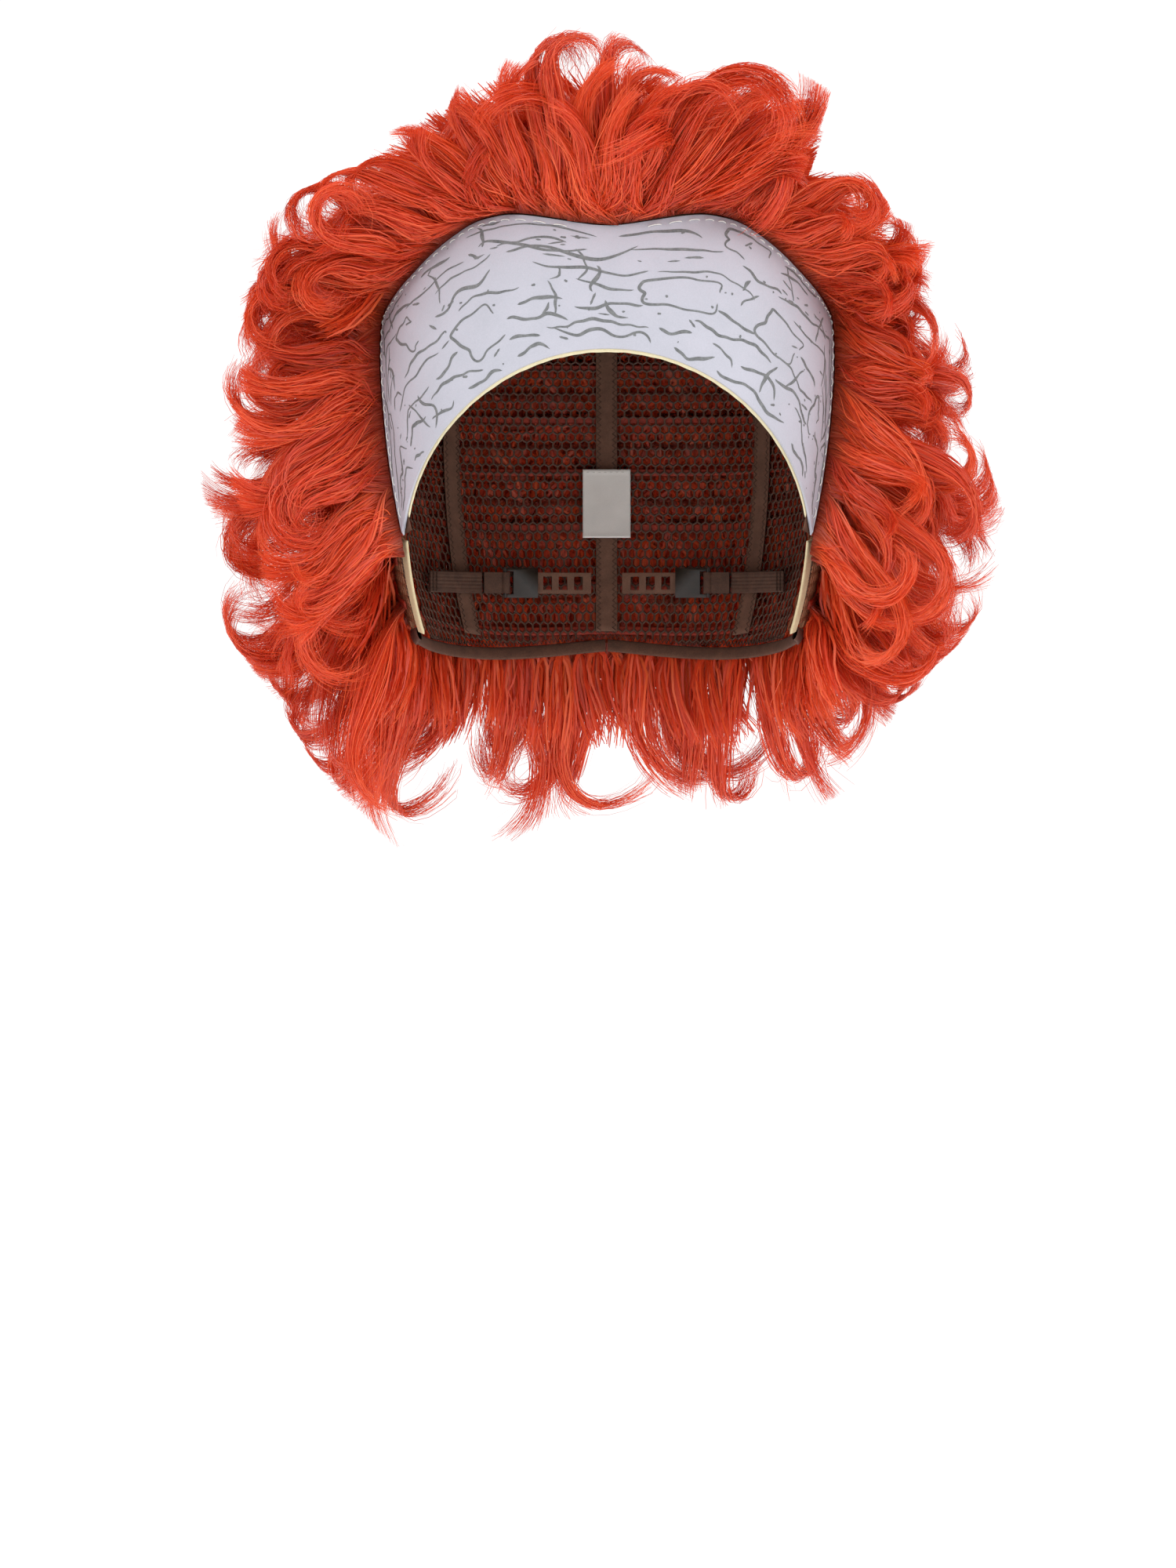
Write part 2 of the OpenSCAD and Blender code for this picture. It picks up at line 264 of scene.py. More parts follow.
@dataclass(frozen=True)
class HeadForm:
    """The head that the cap is cut for, as a rounded box of fixed squareness."""

    half_width: float = 82.0
    half_depth: float = 98.0
    crown: float = 92.0
    chin: float = 140.0
    squareness: float = 2.4

    @staticmethod
    def direction(az: Array, el: Array) -> Array:
        """Unit vectors toward azimuth from the front and elevation, both in degrees."""
        a, e = np.radians(az), np.radians(el)
        return np.stack([np.sin(a) * np.cos(e), -np.cos(a) * np.cos(e), np.sin(e) + 0 * a], axis=-1)

    def axes(self, u: Array, off: Array) -> tuple[Array, Array, Array]:
        """The form's half sizes, grown by off, on the side that u points to."""
        tall = np.where(u[..., 2] >= 0, self.crown, self.chin)
        return self.half_width + off, self.half_depth + off, tall + off

    def place(self, az: Array, el: Array, off: Array = 0.0) -> Array:
        """Places outside the head.

        Args:
            az: Azimuths from the front in degrees.
            el: Elevations in degrees.
            off: Millimetres from the head's surface.

        Returns:
            Places in millimetres along the last axis.
        """
        az, el, off = np.broadcast_arrays(*map(lambda q: np.asarray(q, float), (az, el, off)))
        u = self.direction(az, el)
        return u * self.skin(u, off)[..., None]

    def skin(self, u: Array, off: Array) -> Array:
        """How far the surface is from the middle of the head.

        Args:
            u: Unit vectors.
            off: Millimetres that the surface is moved outward.

        Returns:
            Distances in millimetres along the vectors.
        """
        a, b, c = self.axes(u, off)
        n = self.squareness
        total = (abs(u[..., 0]) / a) ** n + (abs(u[..., 1]) / b) ** n + (abs(u[..., 2]) / c) ** n
        return total ** (-1 / n)

    def normal(self, az: Array, el: Array) -> Array:
        """Unit vectors square to the head's surface.

        Args:
            az: Azimuths in degrees.
            el: Elevations in degrees.

        Returns:
            The vectors along the last axis.
        """
        p = self.place(az, el)
        a, b, c = self.axes(p, 0.0)
        scale = np.stack([a + 0 * c, b + 0 * c, c], axis=-1)
        n = self.squareness
        return unit(np.sign(p) * abs(p) ** (n - 1) / scale**n)


@dataclass(frozen=True)
class Outline:
    """The forehead panel's upper edge and lower arch, in degrees round the head.

    A run along the upper edge goes from -1 at the left lower corner over 0 at the middle to 1.
    """

    run: tuple[float, ...] = (0, 0.4, 0.5, 0.6, 0.7, 0.8, 0.88, 1)
    azimuth: tuple[float, ...] = (55, 70.5, 63, 52, 43, 34, 24, 0)
    elevation: tuple[float, ...] = (-30, 18, 21, 25.5, 30.8, 35.6, 37, 33.5)
    slope_run: tuple[float, ...] = (0, 0.3, 0.4, 0.5, 0.8, 0.9, 1)
    slope: tuple[float, ...] = (-15, -15, 30, 62, 70, 92, 90)
    arch_top: float = 7.8
    arch_drop: float = 37.4
    corner: float = 55.0
    softness: float = 0.05
    steps: int = 400

    def eased(self, s: Array, run: Sequence[float], value: Sequence[float], odd: bool = False) -> Array:
        """A table's value along the edge, with its corners rounded.

        Args:
            s: Runs along the edge.
            run: The table's places, from 0 at a lower corner to 1 at the middle.
            value: The table's values there.
            odd: Whether the value changes sign at the middle.

        Returns:
            The value at each run.
        """
        at = np.linspace(-1, 1, 2 * self.steps + 1)
        flat = np.interp(1 - abs(at), run, value) * (np.sign(at) if odd else 1)
        reach = int(self.softness * self.steps)
        window = np.hanning(2 * reach + 3)[1:-1]
        padded = np.pad(flat, reach, mode="reflect", reflect_type="odd")
        return np.interp(s, at, np.convolve(padded, window / window.sum(), mode="valid"))

    def edge(self, s: Array, out: Array = 0.0) -> tuple[Array, Array]:
        """The upper edge.

        Args:
            s: Runs along it.
            out: Degrees away from the panel.

        Returns:
            Azimuths and elevations in degrees.
        """
        a = np.radians(self.eased(s, self.slope_run, self.slope))
        sideways = np.sign(s) * smooth(abs(s) / 0.1)
        az = self.eased(s, self.run, self.azimuth, True) + out * np.cos(a) * sideways
        return az, self.eased(s, self.run, self.elevation) + out * np.sin(a)

    def arch(self, s: Array, drop: float = 0.0) -> tuple[Array, Array]:
        """The lower arch.

        Args:
            s: Runs along the upper edge, opposite.
            drop: Degrees below the arch.

        Returns:
            Azimuths and elevations in degrees.
        """
        az = np.interp(1 - abs(s), (0, 0.4, 1), (54.6, 40, 0))
        return np.sign(s + 1e-12) * az, self.arch_top - self.arch_drop * (az / self.corner) ** 2 - drop


HEAD = HeadForm()
OUTLINE = Outline()

# Radius of the sewing thread as drawn, in millimetres: the real one is a little under 0.1
SEWING_THREAD = 0.16

# Layers outward from the head, in millimetres, as the cap is sewn
TAPE_IN, TAPE_OUT = 0.3, 1.0
NET_IN, NET_OUT = 1.4, 2.0
OUTER_IN, PANEL_OUT, WEFT_OUT = 2.4, 3.7, 3.6


# ==== Finishes ====


def node(
    tree: bpy.types.NodeTree,
    kind: str,
    values: Optional[dict] = None,
    links: Optional[dict] = None,
    **settings: object,
) -> bpy.types.Node:
    """Add a node with its settings and links.

    Args:
        tree: The material's node tree.
        kind: The node's type name, such as "ShaderNodeTexNoise".
        values: Numbers and colours for its inputs, by input name or number.
        links: Output sockets that feed its inputs, by input name or number.
        settings: The node's own properties.

    Returns:
        The new node.
    """
    made = tree.nodes.new(kind)
    for key, value in settings.items():
        setattr(made, key, value)
    for key, value in (values or {}).items():
        made.inputs[key].default_value = value
    for key, socket in (links or {}).items():
        tree.links.new(socket, made.inputs[key])
    return made


def ramp(
    tree: bpy.types.NodeTree,
    factor: bpy.types.NodeSocket,
    stops: Sequence[tuple[float, str]],
) -> bpy.types.Node:
    """Add a colour ramp.

    Args:
        tree: The material's node tree.
        factor: The output socket that picks the place on the ramp.
        stops: Places from 0 to 1, each with its hex colour.

    Returns:
        The ramp's node.
    """
    made = node(tree, "ShaderNodeValToRGB", links={"Fac": factor})
    bar = made.color_ramp
    while len(bar.elements) < len(stops):
        bar.elements.new(0.5)
    for element, (at, colour) in zip(bar.elements, stops):
        element.position = at
        element.color = linear(colour)
    return made


def new_material(name: str) -> tuple[bpy.types.Material, bpy.types.NodeTree, bpy.types.Node]:
    """Start a material that has only its output node.

    Args:
        name: What the real material is and how it was made.

    Returns:
        The material, its node tree and the output node.
    """
    material = bpy.data.materials.new(name)
    material.use_nodes = True
    tree = material.node_tree
    tree.nodes.clear()
    return material, tree, node(tree, "ShaderNodeOutputMaterial")


@dataclass(frozen=True)
class CurledFibre:
    """Modacrylic wig fibre, spun-dyed and steam-curled.

    Extruded fibre is smooth, so a lock has long soft highlights, and it is thin enough to pass light,
    so tips against the light glow pink-orange.
    """

    name: str = "modacrylic_curled_fibre"
    shadow: str = "BE2F16"
    body: str = "E54B24"
    bright: str = "F8743F"
    deep_lock: str = "CE3A1C"
    pale_lock: str = "F3622F"
    # Grey multiplied over each strand near its root: painted shade where the hair crowds against the cap
    root_painted_shade: str = "9C9494"
    lock_share: float = 0.45
    roughness: float = 0.42
    refraction: float = 1.52
    passes_light: float = 0.26

    def material(self) -> bpy.types.Material:
        """Build the fibre's material; strands carry their own shade in the "Strand" colours, and grey
        painted shade darkens each one near its root.
        """
        made, tree, out = new_material(self.name)
        strand = node(tree, "ShaderNodeAttribute", attribute_name="Strand")
        parts = node(tree, "ShaderNodeSeparateColor", {}, {"Color": strand.outputs["Color"]})
        shade = ramp(tree, parts.outputs["Red"], [(0.0, self.shadow), (0.45, self.body), (1.0, self.bright)])
        lock = ramp(
            tree, parts.outputs["Blue"], [(0.0, self.deep_lock), (0.5, self.body), (1.0, self.pale_lock)])
        both = node(tree, "ShaderNodeMix", {"Factor": self.lock_share},
                    {6: shade.outputs["Color"], 7: lock.outputs["Color"]}, data_type="RGBA")
        # Painted shade: grey darkens each strand at its root and fades out a fifth of the way along
        along = ramp(tree, parts.outputs["Green"], [(0.0, self.root_painted_shade), (0.2, "FFFFFF"), (1.0, "FFFFFF")])
        # The strand colour with the painted root shade multiplied in
        rooted = node(tree, "ShaderNodeMix", {"Factor": 1.0},
                      {6: both.outputs[2], 7: along.outputs["Color"]},
                      data_type="RGBA", blend_type="MULTIPLY")
        surface = node(tree, "ShaderNodeBsdfPrincipled",
                       {"Roughness": self.roughness, "IOR": self.refraction},
                       {"Base Color": rooted.outputs[2]})
        glow = node(tree, "ShaderNodeBsdfTranslucent", {}, {"Color": rooted.outputs[2]})
        mixed = node(tree, "ShaderNodeMixShader", {0: self.passes_light},
                     {1: surface.outputs[0], 2: glow.outputs[0]})
        tree.links.new(mixed.outputs[0], out.inputs["Surface"])
        return made


@dataclass(frozen=True)
class Textile:
    """Cloth, foam or thread: two close tones broken up by fibre, and a fine raised weave.

    Knitted and woven goods scatter light, so they are rough and have no clear highlight.
    """

    name: str
    dark: str
    light: str
    roughness: float = 0.85
    weave_mm: float = 0.7
    relief_mm: float = 0.06
    mottle_mm: float = 6.0
    refraction: float = 1.5

    def material(self) -> bpy.types.Material:
        """Build the cloth's material, its pattern scaled from millimetres."""
        made, tree, out = new_material(self.name)
        place = node(tree, "ShaderNodeTexCoord").outputs["Object"]
        cloud = node(tree, "ShaderNodeTexNoise", {"Scale": 1 / (self.mottle_mm * MM), "Detail": 4.0},
                     {"Vector": place})
        fuzz = node(tree, "ShaderNodeTexNoise", {"Scale": 1 / (self.weave_mm * MM), "Detail": 2.0},
                    {"Vector": place})
        tone = node(tree, "ShaderNodeMix", {"Factor": 0.5},
                    {2: cloud.outputs["Fac"], 3: fuzz.outputs["Fac"]}, data_type="FLOAT")
        shade = ramp(tree, tone.outputs[0], [(0.3, self.dark), (0.7, self.light)])
        raised = node(tree, "ShaderNodeBump", {"Strength": 0.6, "Distance": self.relief_mm * MM},
                      {"Height": fuzz.outputs["Fac"]})
        surface = node(tree, "ShaderNodeBsdfPrincipled",
                       {"Roughness": self.roughness, "IOR": self.refraction},
                       {"Base Color": shade.outputs["Color"], "Normal": raised.outputs["Normal"]})
        tree.links.new(surface.outputs[0], out.inputs["Surface"])
        return made


# Screen-printed matt foam sheet: an even pale lavender grey with a faint tooth
PRINTED_FOAM = Textile("screen_printed_foam", "ACADB7", "B8B7C2", 0.62, 0.5, 0.03, 14.0)
# Screen ink in olive grey: a little patchy where it didn't take
CRACKLE_INK = Textile("screen_ink_olive_grey", "57595A", "7E8081", 0.7, 0.8, 0.02, 3.0)
# Needled foam lining with a raw cut edge, cream
PANEL_LINING = Textile("cut_foam_lining", "D8CCA6", "EADFBE", 0.9, 0.4, 0.08, 3.0)
# Spun polyester sewing thread
WHITE_THREAD = Textile("spun_polyester_thread", "C9C8C4", "E6E5E1", 0.7, 0.3, 0.04, 1.5)
BROWN_THREAD = Textile("spun_polyester_thread_brown", "3A2419", "553728", 0.7, 0.3, 0.04, 1.5)
# Woven cotton band
CAP_BAND = Textile("woven_cotton_band", "4E3326", "6B4936", 0.9, 0.6, 0.08, 5.0)
# Knitted nylon net: thread-dyed brown, slightly shiny
CAP_NET = Textile("knitted_nylon_net", "4A3025", "664536", 0.6, 0.3, 0.03, 4.0)
# Raschel lace in tan brown, which shows by the ears
EAR_LACE = Textile("raschel_lace", "6E4028", "94603F", 0.7, 0.3, 0.05, 3.0)
# Woven cream tape
TAB_TAPE = Textile("woven_cream_tape", "BFAE88", "D6C7A2", 0.85, 0.5, 0.08, 4.0)
# Folded knitted binding
EDGE_BINDING = Textile("folded_knit_binding", "472E22", "654333", 0.9, 0.5, 0.1, 4.0)
# Ribbed knitted elastic
CAP_TAPE = Textile("knitted_elastic_tape", "5A3E30", "785544", 0.85, 0.4, 0.06, 4.0)
# Machine-sewn weft: fibre bound with thread, the hair's own red
WEFT_TRACK = Textile("machine_sewn_weft", "7E1D0E", "B23A1F", 0.6, 0.3, 0.08, 2.0)
STRAP_ELASTIC = Textile("braided_elastic_strap", "3F2A20", "5D4032", 0.85, 0.4, 0.06, 3.0)
# Slit satin ribbon, blank
LABEL_SATIN = Textile("slit_satin_ribbon", "E8E6E3", "F8F6F3", 0.35, 0.25, 0.015, 8.0)


@dataclass(frozen=True)
class MouldedPlastic:
    """Injection-moulded acetal, brown-black: smooth with a soft, slightly uneven shine."""

    name: str = "moulded_acetal"
    dark: str = "1E1712"
    light: str = "2B211B"
    glossy: float = 0.3
    dull: float = 0.42
    refraction: float = 1.48
    flow_mm: float = 2.5

    def material(self) -> bpy.types.Material:
        """Build the plastic's material."""
        made, tree, out = new_material(self.name)
        place = node(tree, "ShaderNodeTexCoord").outputs["Object"]
        flow = node(tree, "ShaderNodeTexNoise", {"Scale": 1 / (self.flow_mm * MM), "Detail": 3.0},
                    {"Vector": place}).outputs["Fac"]
        shade = ramp(tree, flow, [(0.3, self.dark), (0.7, self.light)])
        gloss = node(
            tree, "ShaderNodeMapRange", {"To Min": self.glossy, "To Max": self.dull}, {"Value": flow})
        surface = node(tree, "ShaderNodeBsdfPrincipled", {"IOR": self.refraction},
                       {"Base Color": shade.outputs["Color"], "Roughness": gloss.outputs["Result"]})
        tree.links.new(surface.outputs[0], out.inputs["Surface"])
        return made


# ==== Cloth laid on the head ====


def cloth(az: Array, el: Array, low: float, high: float, relief: Array = 0.0) -> tuple[Array, Array]:
    """A thin closed layer over a grid of places, its edges drawn in so that they look soft.

    Args:
        az: (rows, cols) azimuths in degrees.
        el: Elevations likewise.
        low: Millimetres from the head to the inner face.
        high: The same to the outer face.
        relief: Millimetres added to the outer face.

    Returns:
        Points and quads.
    """
    full = np.ones(az.shape)
    full[:, [0, -1]] = 0.4
    full[[0, -1]] = 0.4
    mid, half = 0.5 * (low + high), 0.5 * (high - low) * full
    return closed_sheet(HEAD.place(az, el, mid - half), HEAD.place(az, el, mid + half + relief * full))


def grid(rows: int, cols: int) -> tuple[Array, Array]:
    """Row and column shares, from 0 to 1, as two (rows, cols) arrays."""
    return np.meshgrid(np.linspace(0, 1, rows), np.linspace(0, 1, cols), indexing="ij")


def zigzag(
    az: Array,
    el: Array,
    lift: float,
    swing: float,
    pitch: float,
    thread: float,
) -> tuple[Array, Array]:
    """A zigzag machine stitch that runs along a seam.

    Args:
        az: Azimuths along the seam.
        el: Elevations along it.
        lift: Millimetres from the head.
        swing: Width of the zigzag in millimetres.
        pitch: Millimetres to a full zigzag.
        thread: Thread radius in millimetres.

    Returns:
        Points and quads of the thread.
    """
    seam = HEAD.place(az, el, lift)
    along = np.concatenate([[0], np.cumsum(np.linalg.norm(np.diff(seam, axis=0), axis=1))])
    at = np.arange(0, along[-1], pitch / 2)
    path = np.stack([np.interp(at, along, seam[:, k]) for k in range(3)], axis=1)
    normal = HEAD.normal(np.interp(at, along, az), np.interp(at, along, el))
    side = unit(np.cross(normal, np.gradient(path, axis=0)))
    swung = path + side * (swing / 2 * (-1.0) ** np.arange(len(at)))[:, None]
    return tube(swung, thread, 4)


class Piece:
    """Short ways to turn points and faces into a settled piece."""

    @staticmethod
    def of(
        name: str,
        shape: tuple[Array, Array],
        nodes: Sequence[str],
        slot: str,
        finish: "Textile",
        body: str = ROOT_BODY,
    ) -> bpy.types.Object:
        """Make a piece and settle it.

        Args:
            name: The piece's name.
            shape: Its points in millimetres and its quads.
            nodes: CAD nodes that it replaces.
            slot: Not used.
            finish: The finish that it wears.
            body: The body that it moves with.

        Returns:
            The piece.
        """
        return settle(make_mesh(name, *shape), nodes, Piece.wear(finish), body)

    @staticmethod
    def wear(finish: object) -> bpy.types.Material:
        """The finish's material, made once."""
        return bpy.data.materials.get(finish.name) or finish.material()


@dataclass
class ForeheadPanel:
    """The printed panel with its lining, its seam stitches and the crackle print."""

    rows: int = 96
    cols: int = 300
    ink_lift: float = 0.05
    seed: int = 7
    run_mm: float = 135.0
    crack_row_count: int = 11
    first_row: float = 4.2
    row_spacing: float = 6.3
    upright_count: int = 30
    speck_count: int = 150
    edge_margin: float = 1.6
    stitch_pitch: float = 0.026
    stitch_count: int = 36
    stitch_share: float = 0.62
    stitch_inset: float = -1.3
    thread_radius: float = 0.22

    # Boxed cracks: run along the panel, share of its height, width and height in millimetres, lean in
    # degrees, and the share of the outline that is left open
    boxes: tuple[tuple[float, float, float, float, float, float], ...] = (
        (0.14, 0.42, 22, 12, 0, 0.1),
        (0.41, 0.46, 17, 13, -10, 0.08),
        (-0.30, 0.30, 17, 15, 10, 0.22),
        (-0.47, 0.62, 10, 14, 20, 0.3),
        (0.66, 0.36, 9, 12, -20, 0.15),
        (0.24, 0.84, 16, 11, -6, 0.3),
    )

    def __post_init__(self) -> None:
        """Start the random draws, the same each run."""
        self.rng = np.random.default_rng(self.seed)

    @staticmethod
    def where(s: Array, v: Array) -> tuple[Array, Array]:
        """Places on the panel.

        Args:
            s: Runs along the panel.
            v: Shares of its height, from 0 at the arch.

        Returns:
            Azimuths and elevations in degrees.
        """
        az0, el0 = OUTLINE.arch(s)
        az1, el1 = OUTLINE.edge(s)
        return az0 + (az1 - az0) * v, el0 + (el1 - el0) * v

    def relief(self, s: Array, v: Array) -> Array:
        """The gentle folds, and the puckers along the stitched edge.

        Args:
            s: Runs along the panel.
            v: Shares of its height.

        Returns:
            Heights in millimetres.
        """
        folds = 0.28 * np.sin(9 * s + 5 * v) * np.sin(2.2 * v + 1.7 * s) + 0.16 * np.sin(21 * s - 4 * v)
        puckers = 0.14 * np.sin(2 * math.pi * s / self.stitch_pitch) * smooth((v - 0.88) / 0.1)
        return folds * smooth(v / 0.2) * smooth((1 - v) / 0.12) + puckers * smooth((1 - v) / 0.02)

    def surface(self, s: Array, v: Array, lift: float) -> Array:
        """Places on the panel's face, lifted off it."""
        return HEAD.place(*self.where(s, v), PANEL_OUT + self.relief(s, v) + lift)

    def sheet(self) -> bpy.types.Object:
        """The foam sheet itself."""
        v, s = grid(self.rows, self.cols)
        v, s = 0.5 - 0.5 * np.cos(math.pi * v) * (0.75 + 0.25 * abs(np.cos(math.pi * v))), 2 * s - 1
        piece = Piece.of(
            "forehead_panel_sheet", cloth(*self.where(s, v), OUTER_IN, PANEL_OUT, self.relief(s, v)),
            ["forehead_panel"], "printed_foam", PRINTED_FOAM)
        return piece

    def lining(self) -> None:
        """The cream lining, whose raw edge shows along the arch."""
        v, s = grid(40, 240)
        s = 0.94 * (2 * s - 1)
        az0, el0 = OUTLINE.arch(s, 0.6 + 0.07 * np.sin(83 * s) * np.sin(31 * s))
        az1, el1 = OUTLINE.edge(s, -3.5)
        piece = Piece.of(
            "panel_lining", cloth(az0 + (az1 - az0) * v, el0 + (el1 - el0) * v, NET_IN, NET_OUT + 0.25),
            ["panel_backing"], "panel_lining", PANEL_LINING)

    def stitches(self) -> None:
        """The row of lockstitches along the seam, each thread dipping into the foam at its ends."""
        parts = []
        arch = np.array([-0.3, 0.1, 0.22, 0.26, 0.22, 0.1, -0.3])
        for side in Side:
            for k in range(1, self.stitch_count + 1):
                first = 1 - k * self.stitch_pitch
                last = first - self.stitch_share * self.stitch_pitch
                az, el = OUTLINE.edge(side.value * np.linspace(first, last, len(arch)), self.stitch_inset)
                parts.append(tube(HEAD.place(az, el, PANEL_OUT + 0.12 + arch), self.thread_radius, 6))
        Piece.of("panel_seam_stitches", join(parts), ["panel_stitches"], "white_thread", WHITE_THREAD)

    # ---- The crackle print: ink ribbons a little proud of the foam ----

    def ribbon(self, s: Array, v: Array, width: float, taper: float = 0.7) -> tuple[Array, Array]:
        """A brush stroke that is thin at both ends.

        Args:
            s: Runs along the panel.
            v: Shares of its height.
            width: Width in millimetres.
            taper: How soon the ends get thin.

        Returns:
            Points and quads.
        """
        path = self.surface(s, v, self.ink_lift)
        normal = HEAD.normal(*self.where(s, v))
        side = unit(np.cross(normal, np.gradient(path, axis=0)))
        t = np.linspace(0, 1, len(s))
        full = np.clip(4 * t * (1 - t), 0, 1) ** (0.5 * taper)
        half = 0.5 * width * (full * (1 + 0.22 * np.sin(9 * t + 17 * width)) + 0.08)
        edges = [path + side * half[:, None], path - side * half[:, None]]
        return np.stack(edges, axis=1).reshape(-1, 3), strip_faces(len(s), 2)

    def height(self, s: Array) -> Array:
        """The panel's height at a run along it, in millimetres."""
        low, high = self.surface(s, 0 * s, 0.0), self.surface(s, 0 * s + 1, 0.0)
        return np.linalg.norm(high - low, axis=-1)

    def inside(self, s: Array, v: Array) -> Array:
        """Whether places keep clear of the panel's edges."""
        margin = self.edge_margin / np.maximum(self.height(s), 2)
        return (abs(s) < 0.95) & (v > margin) & (v < 1 - 1.9 * margin)

    def off_boxes(self, s: Array, v: Array, clear: float = 1.6) -> Array:
        """Whether places keep away from every boxed crack.

        Args:
            s: Runs along the panel.
            v: Shares of its height.
            clear: Millimetres to keep away.

        Returns:
            True for each place that does.
        """
        free = np.ones(len(s), bool)
        for s0, v0, wide, high, _, _ in self.boxes:
            x, y = (s - s0) * self.run_mm, (v - v0) * self.height(np.array([s0]))[0]
            free &= (abs(x) / (wide / 2 + clear)) ** 3 + (abs(y) / (high / 2 + clear)) ** 3 > 1
        return free

    def turned(self, s0: float, v0: float, x: Array, y: Array, lean: float) -> tuple[Array, Array]:
        """Places round a middle on the panel.

        Args:
            s0: The middle's run along the panel.
            v0: Its share of the height.
            x: Millimetres along the arch before turning.
            y: Millimetres across it.
            lean: Degrees to turn.

        Returns:
            Runs and shares of the height.
        """
        a = math.radians(lean)
        s = s0 + (x * math.cos(a) - y * math.sin(a)) / self.run_mm
        return s, v0 + (x * math.sin(a) + y * math.cos(a)) / self.height(np.array([s0]))[0]

    def stroke(self, s0: float, v0: float, length: float, lean: float, width: float) -> Optional[tuple]:
        """One wavy crack.

        Args:
            s0: Run along the panel at the stroke's middle.
            v0: Share of the height there.
            length: Length in millimetres.
            lean: Angle to the arch in degrees.
            width: Width in millimetres.

        Returns:
            Points and quads, or None if it would run off the panel.
        """
        rng = self.rng
        t = np.linspace(-0.5, 0.5, max(8, int(length * 1.6)))
        way = 2 * math.pi * t * length
        wave = rng.uniform(0.5, 1.7) * np.sin(way / rng.uniform(13, 26) + rng.uniform(0, 6))
        wave += rng.uniform(0.05, 0.22) * np.sin(way / 5.5 + rng.uniform(0, 6))
        hook = rng.choice([-1, 0, 0, 1]) * rng.uniform(1.5, 4.0) * np.clip(2 * t - 0.45, 0, 1) ** 2 * 3
        s, v = self.turned(s0, v0, t * length, wave + hook, lean)
        keep = self.inside(s, v) & self.off_boxes(s, v)
        if not keep[len(t) // 2]:
            return None
        gone = np.flatnonzero(~keep)
        first = max(gone[gone < len(t) // 2], default=-1) + 1
        last = min(gone[gone > len(t) // 2], default=len(t))
        return self.ribbon(s[first:last], v[first:last], width) if last - first > 5 else None

    def crack_rows(self) -> list:
        """Rows of cracks that follow the arch."""
        rng, made = self.rng, []
        for row in range(self.crack_row_count):
            run = -0.93
            while run < 0.93:
                length = rng.uniform(10, 34)
                middle = run + length / (2 * self.run_mm)
                tall = self.height(np.array([middle]))[0]
                v = (self.first_row + row * self.row_spacing + rng.normal(0, 1.0)) / tall
                made.append(self.stroke(middle, v, length, rng.normal(0, 5), rng.uniform(0.65, 1.25)))
                run += (length + rng.uniform(2, 9)) / self.run_mm
        return made

    def upright_cracks(self) -> list:
        """Short cracks that cross the rows."""
        rng = self.rng
        return [
            self.stroke(rng.uniform(-0.85, 0.85), rng.uniform(0.15, 0.88), rng.uniform(5, 16),
                        rng.choice([-1, 1]) * rng.uniform(62, 96), rng.uniform(0.7, 1.3))
            for _ in range(self.upright_count)
        ]

    def boxed_cracks(self) -> list:
        """Cracks that close on themselves like worn tiles."""
        made = []
        for s0, v0, wide, high, lean, gap in self.boxes:
            turn = np.linspace(0.4, 0.4 + 2 * math.pi * (1 - gap), 90)
            corner = (abs(np.cos(turn)) ** 8 + abs(np.sin(turn)) ** 8) ** -0.125
            x = wide / 2 * np.cos(turn) * corner + 0.8 * np.sin(3 * turn + wide) + 0.3 * np.sin(8 * turn)
            y = high / 2 * np.sin(turn) * corner + 0.7 * np.cos(2 * turn + high) + 0.3 * np.cos(7 * turn)
            s, v = self.turned(s0, v0, x, y, lean)
            keep = self.inside(s, v)
            made.append(self.ribbon(s[keep], v[keep], 0.95, 0.4))
        return made

    def specks(self) -> list:
        """Dashes and dots between the cracks."""
        rng, made = self.rng, []
        for k in range(self.speck_count):
            length = rng.uniform(0.5, 1.3) if k % 3 else rng.uniform(2, 5)
            width = rng.uniform(0.4, 0.9)
            s0, v0 = rng.uniform(-0.9, 0.9), rng.uniform(0.06, 0.94)
            tall = self.height(np.array([s0]))[0]
            t = np.linspace(-0.5, 0.5, 6) * length
            a = rng.normal(0, 0.5)
            s, v = s0 + t * math.cos(a) / self.run_mm, v0 + t * math.sin(a) / tall
            if self.inside(s, v).all():
                made.append(self.ribbon(s, v, width, 0.5))
        return made

    def build(self) -> None:
        """Make the panel's pieces."""
        self.sheet()
        self.lining()
        self.stitches()
        strokes = self.crack_rows() + self.upright_cracks() + self.boxed_cracks() + self.specks()
        Piece.of("panel_crackle_print", join([k for k in strokes if k]), [], "printed_foam", CRACKLE_INK)


